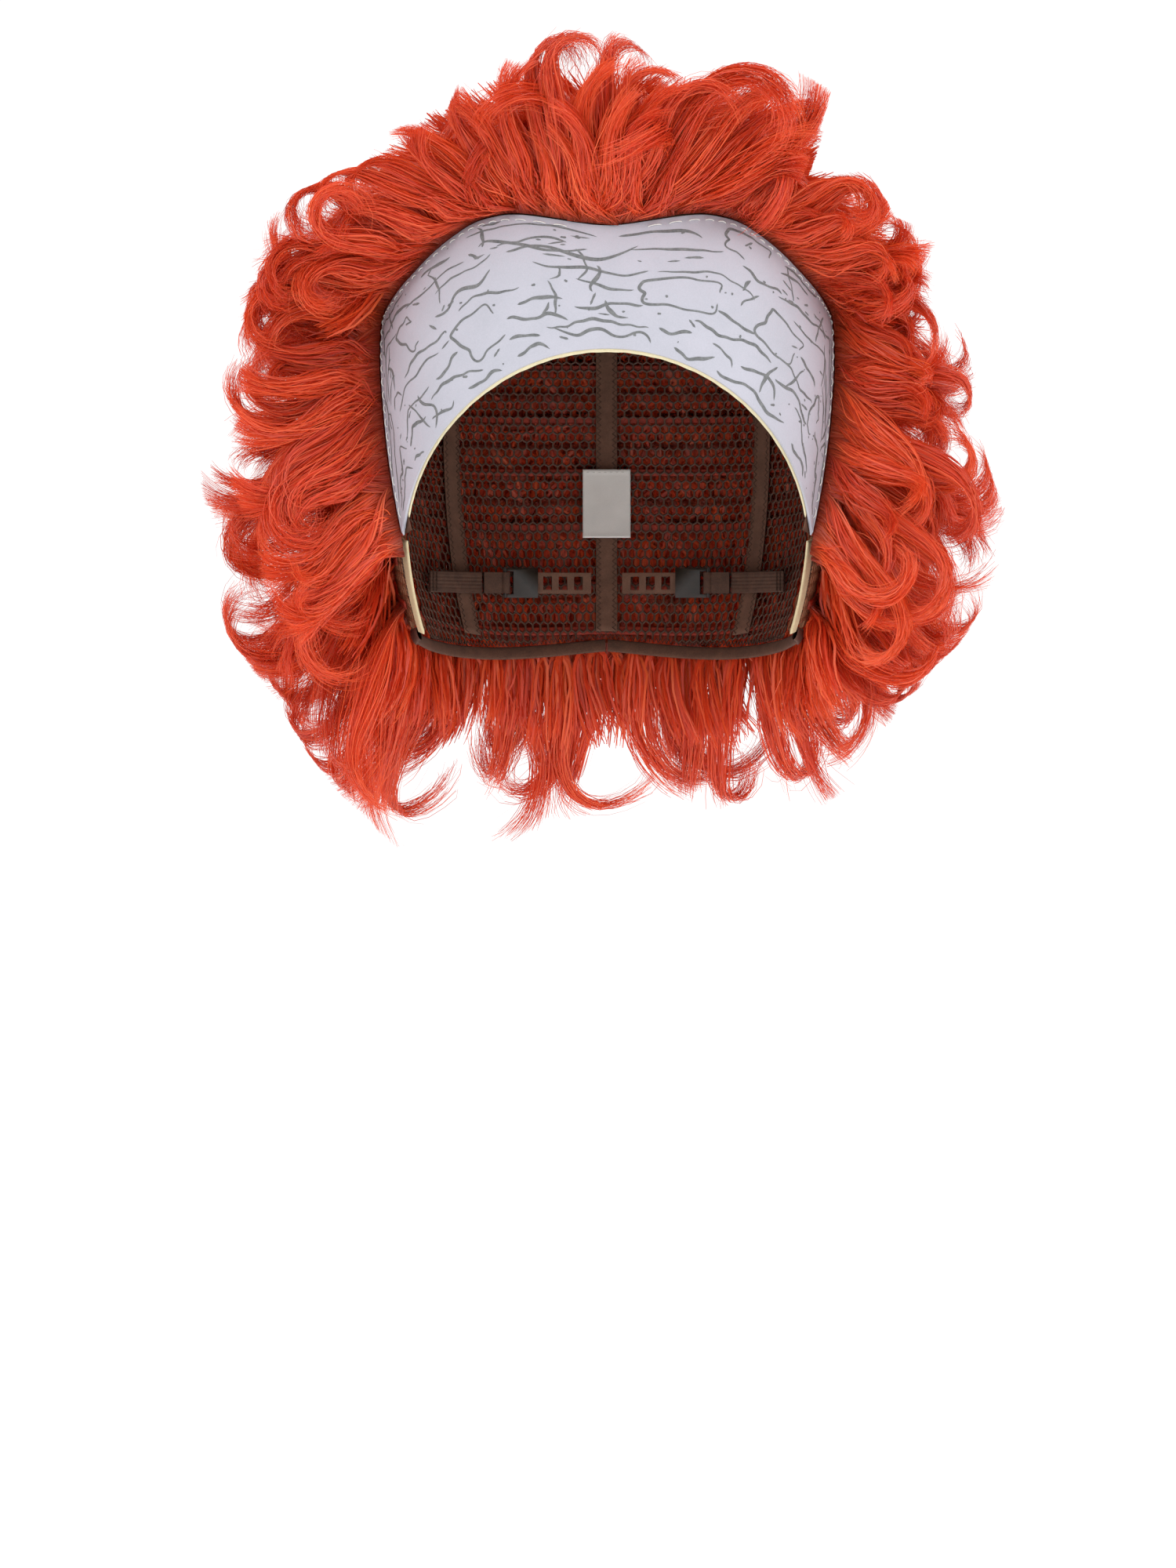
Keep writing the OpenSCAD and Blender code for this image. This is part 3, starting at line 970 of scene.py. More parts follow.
@dataclass(frozen=True)
class ThreadNet:
    """A honeycomb of thread laid over part of the head."""

    pitch: float
    thread: float
    depth: float
    lift: float = 0.5 * (NET_IN + NET_OUT)

    def lattice(self, reach: float) -> tuple[Array, Array]:
        """A flat honeycomb.

        Args:
            reach: Millimetres that it runs each way from its middle.

        Returns:
            The first and the second end of every thread.
        """
        side = self.pitch / math.sqrt(3)
        wide, high = int(reach / self.pitch) + 1, int(reach / (1.5 * side)) + 1
        i, j = np.meshgrid(np.arange(-wide, wide + 1), np.arange(-high, high + 1), indexing="ij")
        middle = np.stack([(i + 0.5 * (j % 2)) * self.pitch, j * 1.5 * side], axis=-1).reshape(-1, 1, 2)
        half = self.pitch / 2
        a = middle + np.array([[0, side], [half, side / 2], [0, side]])
        b = middle + np.array([[half, side / 2], [half, -side / 2], [-half, side / 2]])
        return a.reshape(-1, 2), b.reshape(-1, 2)

    def build(self, reach: float, to_head: Callable, inside: Callable) -> tuple[Array, Array]:
        """Lay the honeycomb on the head.

        Args:
            reach: Size of the flat honeycomb, from its middle.
            to_head: Turns flat places into azimuths and elevations.
            inside: Says which azimuths and elevations the net covers.

        Returns:
            Points and quads of the threads.
        """
        a, b = self.lattice(reach)
        az0, el0 = to_head(a)
        az1, el1 = to_head(b)
        keep = inside(az0, el0) & inside(az1, el1)
        p = HEAD.place(az0[keep], el0[keep], self.lift)
        q = HEAD.place(az1[keep], el1[keep], self.lift)
        normal = unit(p + q)
        side = unit(np.cross(normal, q - p)) * self.thread / 2
        deep = unit(np.cross(q - p, side)) * self.depth / 2
        ring = np.stack([side + deep, deep - side, -side - deep, side - deep], axis=1)
        points = np.concatenate([p[:, None] + ring, q[:, None] + ring], axis=1).reshape(-1, 3)
        base = (np.arange(len(p)) * 8)[:, None, None]
        k = np.arange(4)
        quad = np.stack([k, k + 4, (k + 1) % 4 + 4, (k + 1) % 4], axis=1)
        return points, (base + quad[None]).reshape(-1, 4)


@dataclass
class NetCap:
    """The stretch cap: nets, ear lace, band, tapes and bindings."""

    per_degree: float = 1.65
    side_back: float = 122.0
    net_top: float = 31.6
    net: ThreadNet = ThreadNet(3.2, 0.75, 0.45)
    lace: ThreadNet = ThreadNet(4.0, 1.0, 0.5)
    tapes: tuple[tuple[str, float, float, float], ...] = (
        ("centre", 180, -45, 68), ("back", 143, -46, 66), ("side", 104, -48, 62))
    tape_width: float = 8.0

    @staticmethod
    def hem(az: Array) -> Array:
        """Elevation of the cap's lower hem."""
        return np.interp(abs(az), (58, 80, 120, 180), (-47, -50, -49, -46))

    @staticmethod
    def crown_hem(az: Array) -> Array:
        """Elevation where the crown net is sewn to the band, and to the side and back nets."""
        return np.interp(abs(az), (0, 20, 34, 47, 54), (40.4, 43.4, 42.4, 36.4, 32.3))

    @staticmethod
    def side_front(el: Array) -> Array:
        """Azimuth of the side net's front edge."""
        return np.interp(el, (-31, -6, 19, 24, 29, 32), (61.6, 70.4, 78.2, 73, 63.5, 57.5))

    @staticmethod
    def lace_front(el: Array) -> Array:
        """Azimuth of the ear lace's front edge."""
        return np.interp(el, (-50, -31, -24), (64.2, 61.2, 63.6))

    def rolled(self, flat: Array) -> tuple[Array, Array]:
        """Flat places as azimuth and elevation on a band round the head."""
        return flat[:, 0] / self.per_degree + 180, flat[:, 1] / self.per_degree

    def domed(self, flat: Array) -> tuple[Array, Array]:
        """Flat places as azimuth and elevation round the top of the crown."""
        return np.degrees(np.arctan2(flat[:, 0], flat[:, 1])), 90 - np.hypot(*flat.T) / self.per_degree

    def __post_init__(self) -> None:
        """Start with no seam threads."""
        self.seams = []

    def overlock(self, az: Array, el: Array) -> None:
        """Add a run of the seam thread that closes a net's edge."""
        self.seams.append(zigzag(az, el, 0.5 * (NET_IN + NET_OUT), 1.7, 1.6, 0.27))

    def crown(self) -> None:
        """The net over the crown."""
        shape = self.net.build(110, self.domed, lambda az, el: el > self.crown_hem(az) + 0.3)
        az = np.linspace(-180, 180, 400)
        self.overlock(az, self.crown_hem(az) + 0.5)
        piece = Piece.of("crown_net_knit", shape, ["crown_net"], "cap_net", CAP_NET)

    def back(self) -> None:
        """The net over the back of the head."""
        low = self.side_back + 0.4

        def inside(az: Array, el: Array) -> Array:
            """Whether places are on the back net."""
            over_hem = el > self.hem(np.minimum(az, 360 - az)) + 0.4
            return (az > low) & (az < 360 - low) & (el < self.net_top) & over_hem

        az = np.linspace(low, 360 - low, 260)
        self.overlock(az, 0 * az + 31.4)
        self.overlock(az, self.hem(np.minimum(az, 360 - az)) + 0.6)
        shape = self.net.build(150, self.rolled, inside)
        piece = Piece.of("back_net_knit", shape, ["back_net"], "cap_net", CAP_NET)

    def sides(self, side: Side) -> None:
        """The net over one side and the lace below it by the ear.

        Args:
            side: Which side.
        """
        sign = side.value

        def over_ear(az: Array, el: Array) -> Array:
            """Whether places are on the side net."""
            az = sign * from_front(az)
            return (az > self.side_front(el) + 0.4) & (az < self.side_back - 0.2) & (abs(el - 3.9) < 27.7)

        def by_ear(az: Array, el: Array) -> Array:
            """Whether places are on the ear lace."""
            az = sign * from_front(az)
            inside = (az > self.lace_front(el) + 0.3) & (az < self.side_back - 0.2)
            return inside & (el < -24.4) & (el > self.hem(az) + 0.3)

        el = np.linspace(-23.6, 31.4, 120)
        self.overlock(sign * (self.side_front(el) + 0.6), el)
        self.overlock(0 * el + sign * (self.side_back - 0.5), el)
        piece = Piece.of(f"side_net_knit_{side.word}", self.net.build(240, self.rolled, over_ear),
                         [f"side_net_{side.word}"], "cap_net", CAP_NET)
        low = np.linspace(-47, -24.6, 60)
        az = np.linspace(64.5, self.side_back - 0.5, 120)
        self.overlock(sign * (self.lace_front(low) + 0.6), low)
        self.overlock(sign * az, 0 * az - 24.8)
        piece = Piece.of(f"ear_lace_knit_{side.word}", self.lace.build(240, self.rolled, by_ear),
                         [f"ear_lace_{side.word}"], "ear_lace", EAR_LACE)

    def band(self) -> None:
        """The woven band under the panel's edge and the first weft."""
        out, s = grid(22, 260)
        s = 2 * s - 1
        weave = 0.06 * np.cos(2 * math.pi * 9 * out)
        piece = cloth(*OUTLINE.edge(s, -3 + 8.6 * out), NET_IN, NET_OUT, weave)
        run = np.linspace(-0.98, 0.98, 300)
        inner = [zigzag(*OUTLINE.edge(run, far), NET_IN, 1.6, 2.2, 0.17) for far in (-2.2, 4.8)]
        Piece.of("front_band_weave", piece, ["front_band"], "cap_band", CAP_BAND)
        Piece.of("front_band_stitches", join(inner), [], "white_thread", BROWN_THREAD)

    def tape(self, at: float, low: float, high: float) -> tuple:
        """One elastic tape and its two zigzag seams.

        Args:
            at: The tape's azimuth.
            low: Elevation of its lower end.
            high: Elevation of its upper end.

        Returns:
            The tape's points and quads, and the thread's.
        """
        up, over = grid(110, 17)
        el = low + (high - low) * up
        radius = np.linalg.norm(HEAD.place(at, el, 0.0), axis=-1) * np.cos(np.radians(el))
        half = np.degrees(np.arctan(self.tape_width / 2 / radius))
        ribs = 0.1 * np.cos(2 * math.pi * 6 * over)
        shape = cloth(at + half * (2 * over - 1), el, TAPE_IN, TAPE_OUT, ribs)
        beside = 0.72 * half[:, 0]
        seams = [zigzag(at + k * beside, el[:, 0], TAPE_IN - 0.05, 1.5, 2.2, SEWING_THREAD) for k in (-1, 1)]
        return shape, join(seams)

    def all_tapes(self) -> None:
        """The centre tape and the pairs at the back and sides."""
        for name, at, low, high in self.tapes:
            for side in [None] if name == "centre" else list(Side):
                suffix = "" if side is None else f"_{side.word}"
                shape, seams = self.tape(at * (side.value if side else 1), low, high)
                nodes = [f"tape_{name}{suffix}"]
                Piece.of(f"{name}_tape_elastic{suffix}", shape, nodes, "cap_tape", CAP_TAPE)
                Piece.of(f"{name}_tape_stitches{suffix}", seams, [], "white_thread", BROWN_THREAD)

    def binding(self, side: Side) -> None:
        """The folded binding along one half of the hem, with its row of stitches.

        Args:
            side: Which half.
        """
        turn, run = grid(13, 220)
        az = 64.8 + (179.7 - 64.8) * run
        angle = 2 * math.pi * turn
        el = self.hem(az) - 1.15 + 1.1 * np.cos(angle)
        lift = 0.5 * (NET_IN + NET_OUT) + 0.85 * np.sin(angle) + 0.07 * np.sin(2 * math.pi * run * 95)
        points = HEAD.place(side.value * az, el, lift).reshape(-1, 3)
        seam_az = np.linspace(65.5, 179.4, 300)
        below = self.hem(seam_az) - 0.9
        seam = zigzag(side.value * seam_az, below, NET_IN - 0.33, 1.3, 2.6, SEWING_THREAD)
        Piece.of(f"hem_binding_{side.word}", (points, strip_faces(13, 220, 0, side is Side.RIGHT)),
                 [f"edge_binding_{side.word}"], "edge_binding", EDGE_BINDING)
        Piece.of(f"hem_stitches_{side.word}", seam, [], "white_thread", BROWN_THREAD)

    def tab(self, side: Side) -> None:
        """The cream tape from the panel's corner down the lace's front edge.

        Args:
            side: Which side.
        """
        up, over = grid(70, 13)
        el = -48.5 + 17.0 * up
        az = np.interp(el, (-50, -31.5), (59.5, 55.2)) + 4.2 * over
        weave = 0.05 * np.cos(2 * math.pi * 7 * over) + 0.05 * np.sin(2 * math.pi * 34 * up)
        Piece.of(f"ear_tab_tape_{side.word}", cloth(side.value * az, el, NET_IN, OUTER_IN + 0.1, weave),
                 [f"ear_tab_{side.word}"], "tab_tape", TAB_TAPE)

    def build(self) -> None:
        """Make the cap's pieces."""
        self.crown()
        self.back()
        self.band()
        self.all_tapes()
        for side in Side:
            self.sides(side)
            self.binding(side)
            self.tab(side)
        Piece.of("net_seam_overlock", join(self.seams), [], "cap_net", BROWN_THREAD)


@dataclass
class WeftTracks:
    """The machine-sewn tracks that the hair hangs from."""

    height: float = 1.4
    rows: tuple[float, ...] = (30, 19, 8, -3, -14, -25, -36, -44)
    rings: tuple[tuple[str, tuple[tuple[float, float], ...]], ...] = (
        ("outer", ((42, 44), (54, 3))), ("inner", ((66, 3), (78, 6))))

    @staticmethod
    def front(el: float) -> float:
        """Azimuth where a row starts."""
        return float(np.interp(el, (-44, -31, -25, 19, 24, 30), (67, 64, 65, 78, 70, 61)))

    def track(self, start: float, el: float) -> tuple[Array, Array]:
        """A flat cord with a zigzag of thread over each face.

        Args:
            start: Azimuth where it starts; it runs round the back to the same place on the other side.
            el: Its elevation.

        Returns:
            Points and quads.
        """
        up, run = grid(9, int(1.1 * (360 - 2 * start)))
        az = start + (360 - 2 * start) * run
        swell = 0.35 * np.sin(math.pi * up) * (1 + 0.25 * np.sin(2 * math.pi * az / 1.7))
        body = cloth(az, el + self.height * (up - 0.5), OUTER_IN, WEFT_OUT - 0.45, swell)
        along = az[0]
        faces = (OUTER_IN - 0.05, WEFT_OUT - 0.05)
        thread = [zigzag(along, 0 * along + el, lift, 2.0, 2.4, SEWING_THREAD) for lift in faces]
        return join([body, *thread])

    def build(self) -> None:
        """Make every row and ring, and the first weft behind the panel."""
        for k, el in enumerate(self.rows):
            Piece.of(f"weft_track_{k + 1}", self.track(self.front(el), el), [f"weft_row_{k + 1}"],
                     "weft_track", WEFT_TRACK)
        for name, rings in self.rings:
            Piece.of(f"crown_track_{name}", join([self.track(start, el) for el, start in rings]),
                     [f"crown_weft_{name}"], "weft_track", WEFT_TRACK)
        out, s = grid(9, 320)
        s = 2 * s - 1
        swell = 0.3 * np.sin(math.pi * out) * (1 + 0.25 * np.sin(2 * math.pi * s * 90))
        shape = cloth(*OUTLINE.edge(s, 0.9 + 1.7 * out), OUTER_IN, WEFT_OUT - 0.3, swell)
        Piece.of("front_weft_track", shape, ["front_weft"], "weft_track", WEFT_TRACK)


@dataclass
class NapeAdjuster:
    """One nape adjuster: elastic strap, folded strap end, plastic hook and loop tape."""

    side: Side
    level: float = -67.0
    near: tuple[float, float] = (47.1, 74.8)
    far: tuple[float, float] = (65.8, 49.1)
    strap_height: float = 8.0
    strap_thickness: float = 1.0
    ribs: int = 6

    def rounded_copy(
        self,
        node_name: str,
        name: str,
        finish: object,
        body: str,
        soften: float,
    ) -> None:
        """Stand a copy with softened edges in for a CAD node.

        Args:
            node_name: The node's name without its side.
            name: The piece's name likewise.
            finish: The finish that it wears.
            body: The body that it moves with.
            soften: Width of the softened edges in millimetres.
        """
        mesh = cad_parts[f"{node_name}_{self.side.word}"].data.copy()
        piece = bpy.data.objects.new(f"{name}_{self.side.word}", mesh)
        bpy.context.scene.collection.objects.link(piece)
        bpy.context.view_layer.objects.active = piece
        weld = piece.modifiers.new("weld", "WELD")
        weld.merge_threshold = 1e-5
        bevel = piece.modifiers.new("soften", "BEVEL")
        bevel.width = soften * MM
        bevel.segments = 3
        bevel.limit_method = "ANGLE"
        bevel.angle_limit = 0.6
        for modifier in (weld, bevel):
            bpy.ops.object.modifier_apply(modifier=modifier.name)
        mesh.polygons.foreach_set("use_smooth", np.ones(len(mesh.polygons), bool))
        mesh.set_sharp_from_angle(angle=0.7)
        settle(piece, [f"{node_name}_{self.side.word}"], Piece.wear(finish), body)

    def ends(self) -> tuple[Array, Array, Array, Array]:
        """The strap's inner and outer ends, the way along it and the way out through it."""
        sign = self.side.value
        near, far = (np.array([sign * x, y, self.level]) for x, y in (self.near, self.far))
        along = unit(far - near)
        return near, far, along, np.array([-along[1], along[0], 0.0]) * sign

    def strap(self) -> None:
        """The elastic strap, which stretches from the cap to its folded end."""
        near, far, _, across = self.ends()
        up, run = grid(25, 60)
        line = near + (far - near) * run[..., None]
        line = line + np.array([0, 0, 1.0]) * (self.strap_height * (up - 0.5))[..., None]
        rib = 0.12 * np.cos(2 * math.pi * self.ribs * up) * np.sin(math.pi * up) ** 0.5
        edge = np.ones(up.shape)
        edge[[0, -1]] = 0.4
        half = (self.strap_thickness / 2 * edge + rib)[..., None] * across
        piece = make_mesh(f"elastic_strap_{self.side.word}", *closed_sheet(line - half, line + half))
        piece.data.materials.append(Piece.wear(STRAP_ELASTIC))
        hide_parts(f"adjuster_strap_{self.side.word}")
        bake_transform(piece)
        LOG.info("%s: %d faces", piece.name, len(piece.data.polygons))

    def anchor_patch(self) -> None:
        """The bar tack that sews the strap's outer end to the cap."""
        _, far, along, across = self.ends()
        z = np.linspace(-3.4, 3.4, 30)
        swing = 0.5 * (-1.0) ** np.arange(len(z))
        parts = []
        for shift in (-3.2, -1.2):
            path = far + along * (shift + swing)[:, None] - across * 0.75
            parts.append(tube(path + np.array([0, 0, 1.0]) * z[:, None], SEWING_THREAD, 4))
        Piece.of(f"strap_bar_tack_{self.side.word}", join(parts), [], "white_thread", BROWN_THREAD)

    def build(self) -> None:
        """Make one side's adjuster."""
        end, hook = f"strap_end_{self.side.word}", f"hook_{self.side.word}"
        self.strap()
        self.anchor_patch()
        self.rounded_copy("strap_end", "folded_strap_end", STRAP_ELASTIC, end, 0.18)
        self.rounded_copy("adjuster_hook", "moulded_hook", MouldedPlastic(), hook, 0.22)
        self.rounded_copy("loop_tape", "looped_tape", CAP_TAPE, ROOT_BODY, 0.14)


@dataclass
class CareLabel:
    """A blank satin label that hangs inside the back of the cap."""

    rows: int = 40
    cols: int = 28
    curl: float = 2.0
    lift: float = 2.6

    def build(self) -> None:
        """Make the label inside the CAD label's box, gently curled."""
        low, high = (np.array(c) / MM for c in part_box("care_label"))
        up, over = grid(self.rows, self.cols)
        x = low[0] + (high[0] - low[0]) * over
        z = low[2] + (high[2] - low[2]) * up
        lean = high[1] - 0.35 - (high[1] - low[1] - 0.5) * (1 - up) - self.lift * (1 - up) ** 2.5
        y = lean - self.curl * (1 - up) * (np.cos(math.pi * (over - 0.5)) - 1) * 0.5
        hem = 0.12 * (smooth((up - 0.93) / 0.02) + smooth((0.06 - up) / 0.02))
        face = np.stack([x, y, z], axis=-1)
        thick = (0.14 + hem)[..., None] * np.array([0, 1.0, 0])
        points, faces = closed_sheet(face + thick, face - thick)
        shape = (points, faces[:, ::-1])
        piece = Piece.of("care_label_satin", shape, ["care_label"], "label_satin", LABEL_SATIN)
        parts = []
        dip = np.array([0.2, -0.12, -0.22, -0.22, -0.12, 0.2])
        for start in np.arange(low[0] + 1.2, high[0] - 2.0, 2.2):
            along = start + np.linspace(0, 1.4, len(dip))
            path = np.stack([along, high[1] - 0.55 + dip, 0 * along + high[2] - 1.1], axis=1)
            parts.append(tube(path, 0.13))
        Piece.of("care_label_stitches", join(parts), [], "white_thread", WHITE_THREAD)


# ==== Hair ====


@dataclass(frozen=True)
class HairEnvelope:
    """How far the curls reach from the head's middle, by compass angle in the front view.

    Angles run anticlockwise from +X, in degrees; reaches are in millimetres.
    """

    angle: tuple[float, ...] = (
        -180, -172, -160, -148, -136, -124, -112, -104, -90, -76, -68, -58, -46, -34, -20, -8, 4, 16,
        24, 32, 40, 46, 53, 64, 76, 81, 88, 97, 104, 110, 121, 131, 138, 148, 160, 172, 180)
    reach_at: tuple[float, ...] = (
        142, 146, 148, 158, 158, 168, 178, 174, 163, 164, 169, 166, 147, 152, 152, 134, 132, 124,
        130, 116, 116, 98, 132, 132, 120, 116, 127, 131, 121, 130, 112, 121, 116, 130, 138, 136, 141)
    front: float = 122.0
    back: float = 146.0
    crown: float = 113.0
    squareness: float = 2.1
    back_squareness: float = 3.4
    quiff_squareness: float = 5.0

    def reach(self, u: Array) -> Array:
        """How far the hair reaches: squarer below the back and over the brow, and low on the crown.

        Args:
            u: Unit vectors from the head's middle.

        Returns:
            Reaches in millimetres along them.
        """
        angle = np.degrees(np.arctan2(u[..., 2], u[..., 0]))
        flat = np.interp(angle, self.angle, self.reach_at)
        behind = smooth((u[..., 1] + 0.4) / 0.4) * smooth((u[..., 2] - 0.3) / 0.3)
        flat = flat + (np.minimum(flat, self.crown) - flat) * behind
        deep = np.where(u[..., 1] < 0, self.front, self.back)
        spread = np.hypot(u[..., 0], u[..., 2])
        n = np.where((u[..., 2] < 0) & (u[..., 1] > 0), self.back_squareness, self.squareness)
        over_brow = smooth((-u[..., 1] - 0.05) / 0.3) * smooth((u[..., 2] - 0.25) / 0.25)
        n = n + (self.quiff_squareness - n) * over_brow
        return ((spread / flat) ** n + (abs(u[..., 1]) / deep) ** n) ** (-1 / n)


@dataclass(frozen=True)
class StyledLock:
    """One lock of the front weft, set one by one.

    Angles are in degrees as seen from the front: 0 is +X and 90 is up. A positive curl is clockwise.
    The run is the lock's place along the panel's edge. The start is the share of its length that stays
    straight, forward is its lean toward the face, and tip is how much of its width is left at its end.
    """

    run: float
    angle: float
    reach: float
    curl: float
    start: float = 0.35
    forward: float = 0.3
    width: float = 13.0
    tip: float = 0.4


@dataclass
class Locks:
    """A batch of locks, one row of every array to a lock, in millimetres and radians.

    A lock leaves its root along rise, runs along heading, and turns toward bend. Across is the weft.
    """

    root: Array
    heading: Array
    rise: Array
    bend: Array
    across: Array
    length: Array
    turn: Array
    start: Array
    drift: Array
    width: Array
    tip: Array
    shade: Array
    strands: Array
    region: Array

    @staticmethod
    def merge(batches: Sequence["Locks"]) -> "Locks":
        """Put several batches into one."""
        names = [f.name for f in fields(Locks)]
        return Locks(**{n: np.concatenate([getattr(b, n) for b in batches]) for n in names})


@dataclass
class CurlyHair:
    """All the hair: locks rooted on the wefts, each a bundle of ribbons under half a millimetre wide.

    Real fibre is under 0.1 mm thick; strands are made wider so that each one can be seen.
    """

    envelope: HairEnvelope = field(default_factory=HairEnvelope)
    seed: int = 20
    points: int = 18
    strand_width: float = 0.38
    root_lift: float = 3.6
    most_strands: int = 5600
    stray_share: float = 0.035
    stray_looseness: float = 2.8

    # Strands to each millimetre of a lock's width
    styled_density: float = 15.0
    front_density: float = 13.0
    crown_density: float = 9.0
    net_density: float = 7.6
    under_density: float = 4.4

    # The layer below: points to a strand, its width against the curls', and millimetres between roots
    under_points: int = 7
    under_width: float = 2.7
    under_pitch: float = 5.0

    # Mean radius of a row of roots at the level of the brow, in millimetres
    girth_radius: float = 90.0

    # Layers behind the panel: degrees out, locks, forward lean and millimetres of lift
    front_layers: tuple[tuple[float, int, float, float], ...] = (
        (0.15, 48, 0.3, 0.6), (1.5, 44, 0.12, 0.0), (2.8, 42, -0.06, 0.0))

    # The front weft's set of hair: place along the panel's edge against the angle it is combed to
    combed_run: tuple[float, ...] = (
        -1, -0.86, -0.72, -0.6, -0.5, -0.4, -0.3, -0.2, -0.1, 0, 0.1, 0.2, 0.3, 0.4, 0.5, 0.6, 0.72, 0.86, 1)
    combed_to: tuple[float, ...] = (
        240, 214, 196, 180, 168, 160, 156, 148, 122, 92, 60, 38, 28, 22, 12, 0, -16, -36, -60)

    # Elevations of the side rows and the azimuth where each starts, the same for the crown's rings, and
    # for the rows between them that only the layer below has
    side_rows: tuple[tuple[float, float], ...] = (
        (30, 62), (19, 79), (8, 76), (-3, 72.5), (-14, 69), (-25, 67), (-36, 67), (-44, 69))
    crown_rows: tuple[tuple[float, float], ...] = ((42, 42), (54, 0), (66, 0), (78, 0), (87, 0))
    filler_rows: tuple[tuple[float, float], ...] = (
        (36, 55), (48, 0), (60, 0), (72, 0), (83, 0),
        (24.5, 74), (13.5, 79), (2.5, 76), (-8.5, 72.5), (-19.5, 69))

    styled: tuple[StyledLock, ...] = (
        # Left of the quiff: locks that lie over to the left and hook down
        StyledLock(-0.21, 158, 70, -150, 0.62, 0.2, 14),
        StyledLock(-0.18, 152, 62, -210, 0.5, 0.2, 12),
        StyledLock(-0.16, 144, 58, 60, 0.5, 0.3, 14),
        # The tuft at the fan's left end, soft at its tips
        StyledLock(-0.13, 137, 66, -40, 0.5, 0.12, 15, 0.7),
        StyledLock(-0.11, 128, 70, 35, 0.5, 0.08, 15, 0.7),
        StyledLock(-0.09, 120, 72, -30, 0.5, 0.15, 15, 0.6),
        StyledLock(-0.075, 113, 62, 70, 0.5, 0.2, 15),
        # The upright locks in the middle, curling over to the right
        StyledLock(-0.055, 103, 72, 190, 0.62, 0.1, 15, 0.6),
        StyledLock(-0.04, 100, 72, 170, 0.66, 0.16, 14, 0.6),
        StyledLock(-0.02, 95, 60, 60, 0.5, 0.22, 16),
        StyledLock(-0.012, 99, 48, -50, 0.5, 0.42, 15, 0.6),
        StyledLock(0.0, 90, 50, 45, 0.5, 0.5, 16, 0.6),
        StyledLock(0.012, 82, 46, 60, 0.5, 0.42, 15, 0.6),
        StyledLock(-0.005, 89, 71, 140, 0.7, 0.1, 16, 0.5),
        StyledLock(0.005, 85, 69, 115, 0.68, 0.16, 15, 0.35),
        StyledLock(0.015, 79, 56, 60, 0.5, 0.24, 16),
        StyledLock(0.025, 71, 58, 120, 0.5, 0.2, 14),
        # The long right-hand lock that leaves an open loop, and the spike beyond it
        StyledLock(0.03, 63, 76, 168, 0.42, 0.12, 12, 0.75),
        StyledLock(0.04, 61, 78, 160, 0.45, 0.18, 12, 0.7),
        StyledLock(0.06, 52, 72, 100, 0.6, 0.16, 14, 0.6),
        StyledLock(0.075, 45, 68, 60, 0.5, 0.1, 15, 0.5),
        StyledLock(0.07, 24, 88, -58, 0.42, 0.1, 13, 0.35),
        StyledLock(0.10, 26, 84, -52, 0.42, 0.14, 12, 0.4),
        StyledLock(0.10, 38, 64, 80, 0.5, 0.26, 15),
        StyledLock(0.13, 30, 52, 60, 0.5, 0.3, 15),
        # Right side: a rounded curl, a straggling end, a hook that turns back, and big curls below
        StyledLock(0.25, 34, 48, 215, 0.45, 0.3, 12),
        StyledLock(0.30, 38, 47, 235, 0.5, 0.25, 13),
        StyledLock(0.37, 24, 62, -40, 0.5, 0.25, 14),
        StyledLock(0.42, 14, 66, 55, 0.5, 0.3, 14),
        StyledLock(0.55, 2, 52, 90, 0.5, 0.35, 14),
        StyledLock(0.68, -9, 68, 215, 0.62, 0.25, 12),
        StyledLock(0.80, -24, 72, 190, 0.5, 0.3, 15),
        StyledLock(0.90, -36, 82, 205, 0.5, 0.2, 15),
        StyledLock(0.96, -50, 84, 150, 0.5, 0.25, 15),
        # Left side: C loops at the temple and smooth sweeping masses below
        StyledLock(-0.32, 150, 56, -225, 0.5, 0.2, 12),
        StyledLock(-0.42, 162, 62, -170, 0.5, 0.25, 12),
        StyledLock(-0.47, 166, 62, -215, 0.55, 0.2, 11),
        StyledLock(-0.54, 172, 64, -200, 0.5, 0.3, 12),
        StyledLock(-0.70, 198, 66, 50, 0.35, 0.35, 17),
        StyledLock(-0.76, 205, 72, 60, 0.4, 0.3, 17),
        StyledLock(-0.84, 214, 80, 70, 0.4, 0.25, 17),
        StyledLock(-0.92, 225, 84, 85, 0.45, 0.2, 16),
        StyledLock(-0.97, 236, 84, 100, 0.5, 0.2, 15),
    )

    def __post_init__(self) -> None:
        """Start the random draws, the same each run."""
        self.rng = np.random.default_rng(self.seed)

    # ---- Laying out the locks ----

    @staticmethod
    def row(az: Array, el: Array, lift: Array) -> dict[str, Array]:
        """Roots along a row and the surface's directions there.

        Args:
            az: The roots' azimuths.
            el: Their elevations.
            lift: Millimetres from the head.

        Returns:
            "root", "normal", "level" and "up", each (n, 3).
        """
        root = HEAD.place(az, el, lift)
        step = HEAD.place(az + 0.5, el, lift) - HEAD.place(az - 0.5, el, lift)
        up = HEAD.place(az, el + 0.5, lift) - HEAD.place(az, el - 0.5, lift)
        return {"root": root, "normal": HEAD.normal(az, el), "level": unit(step), "up": unit(up)}

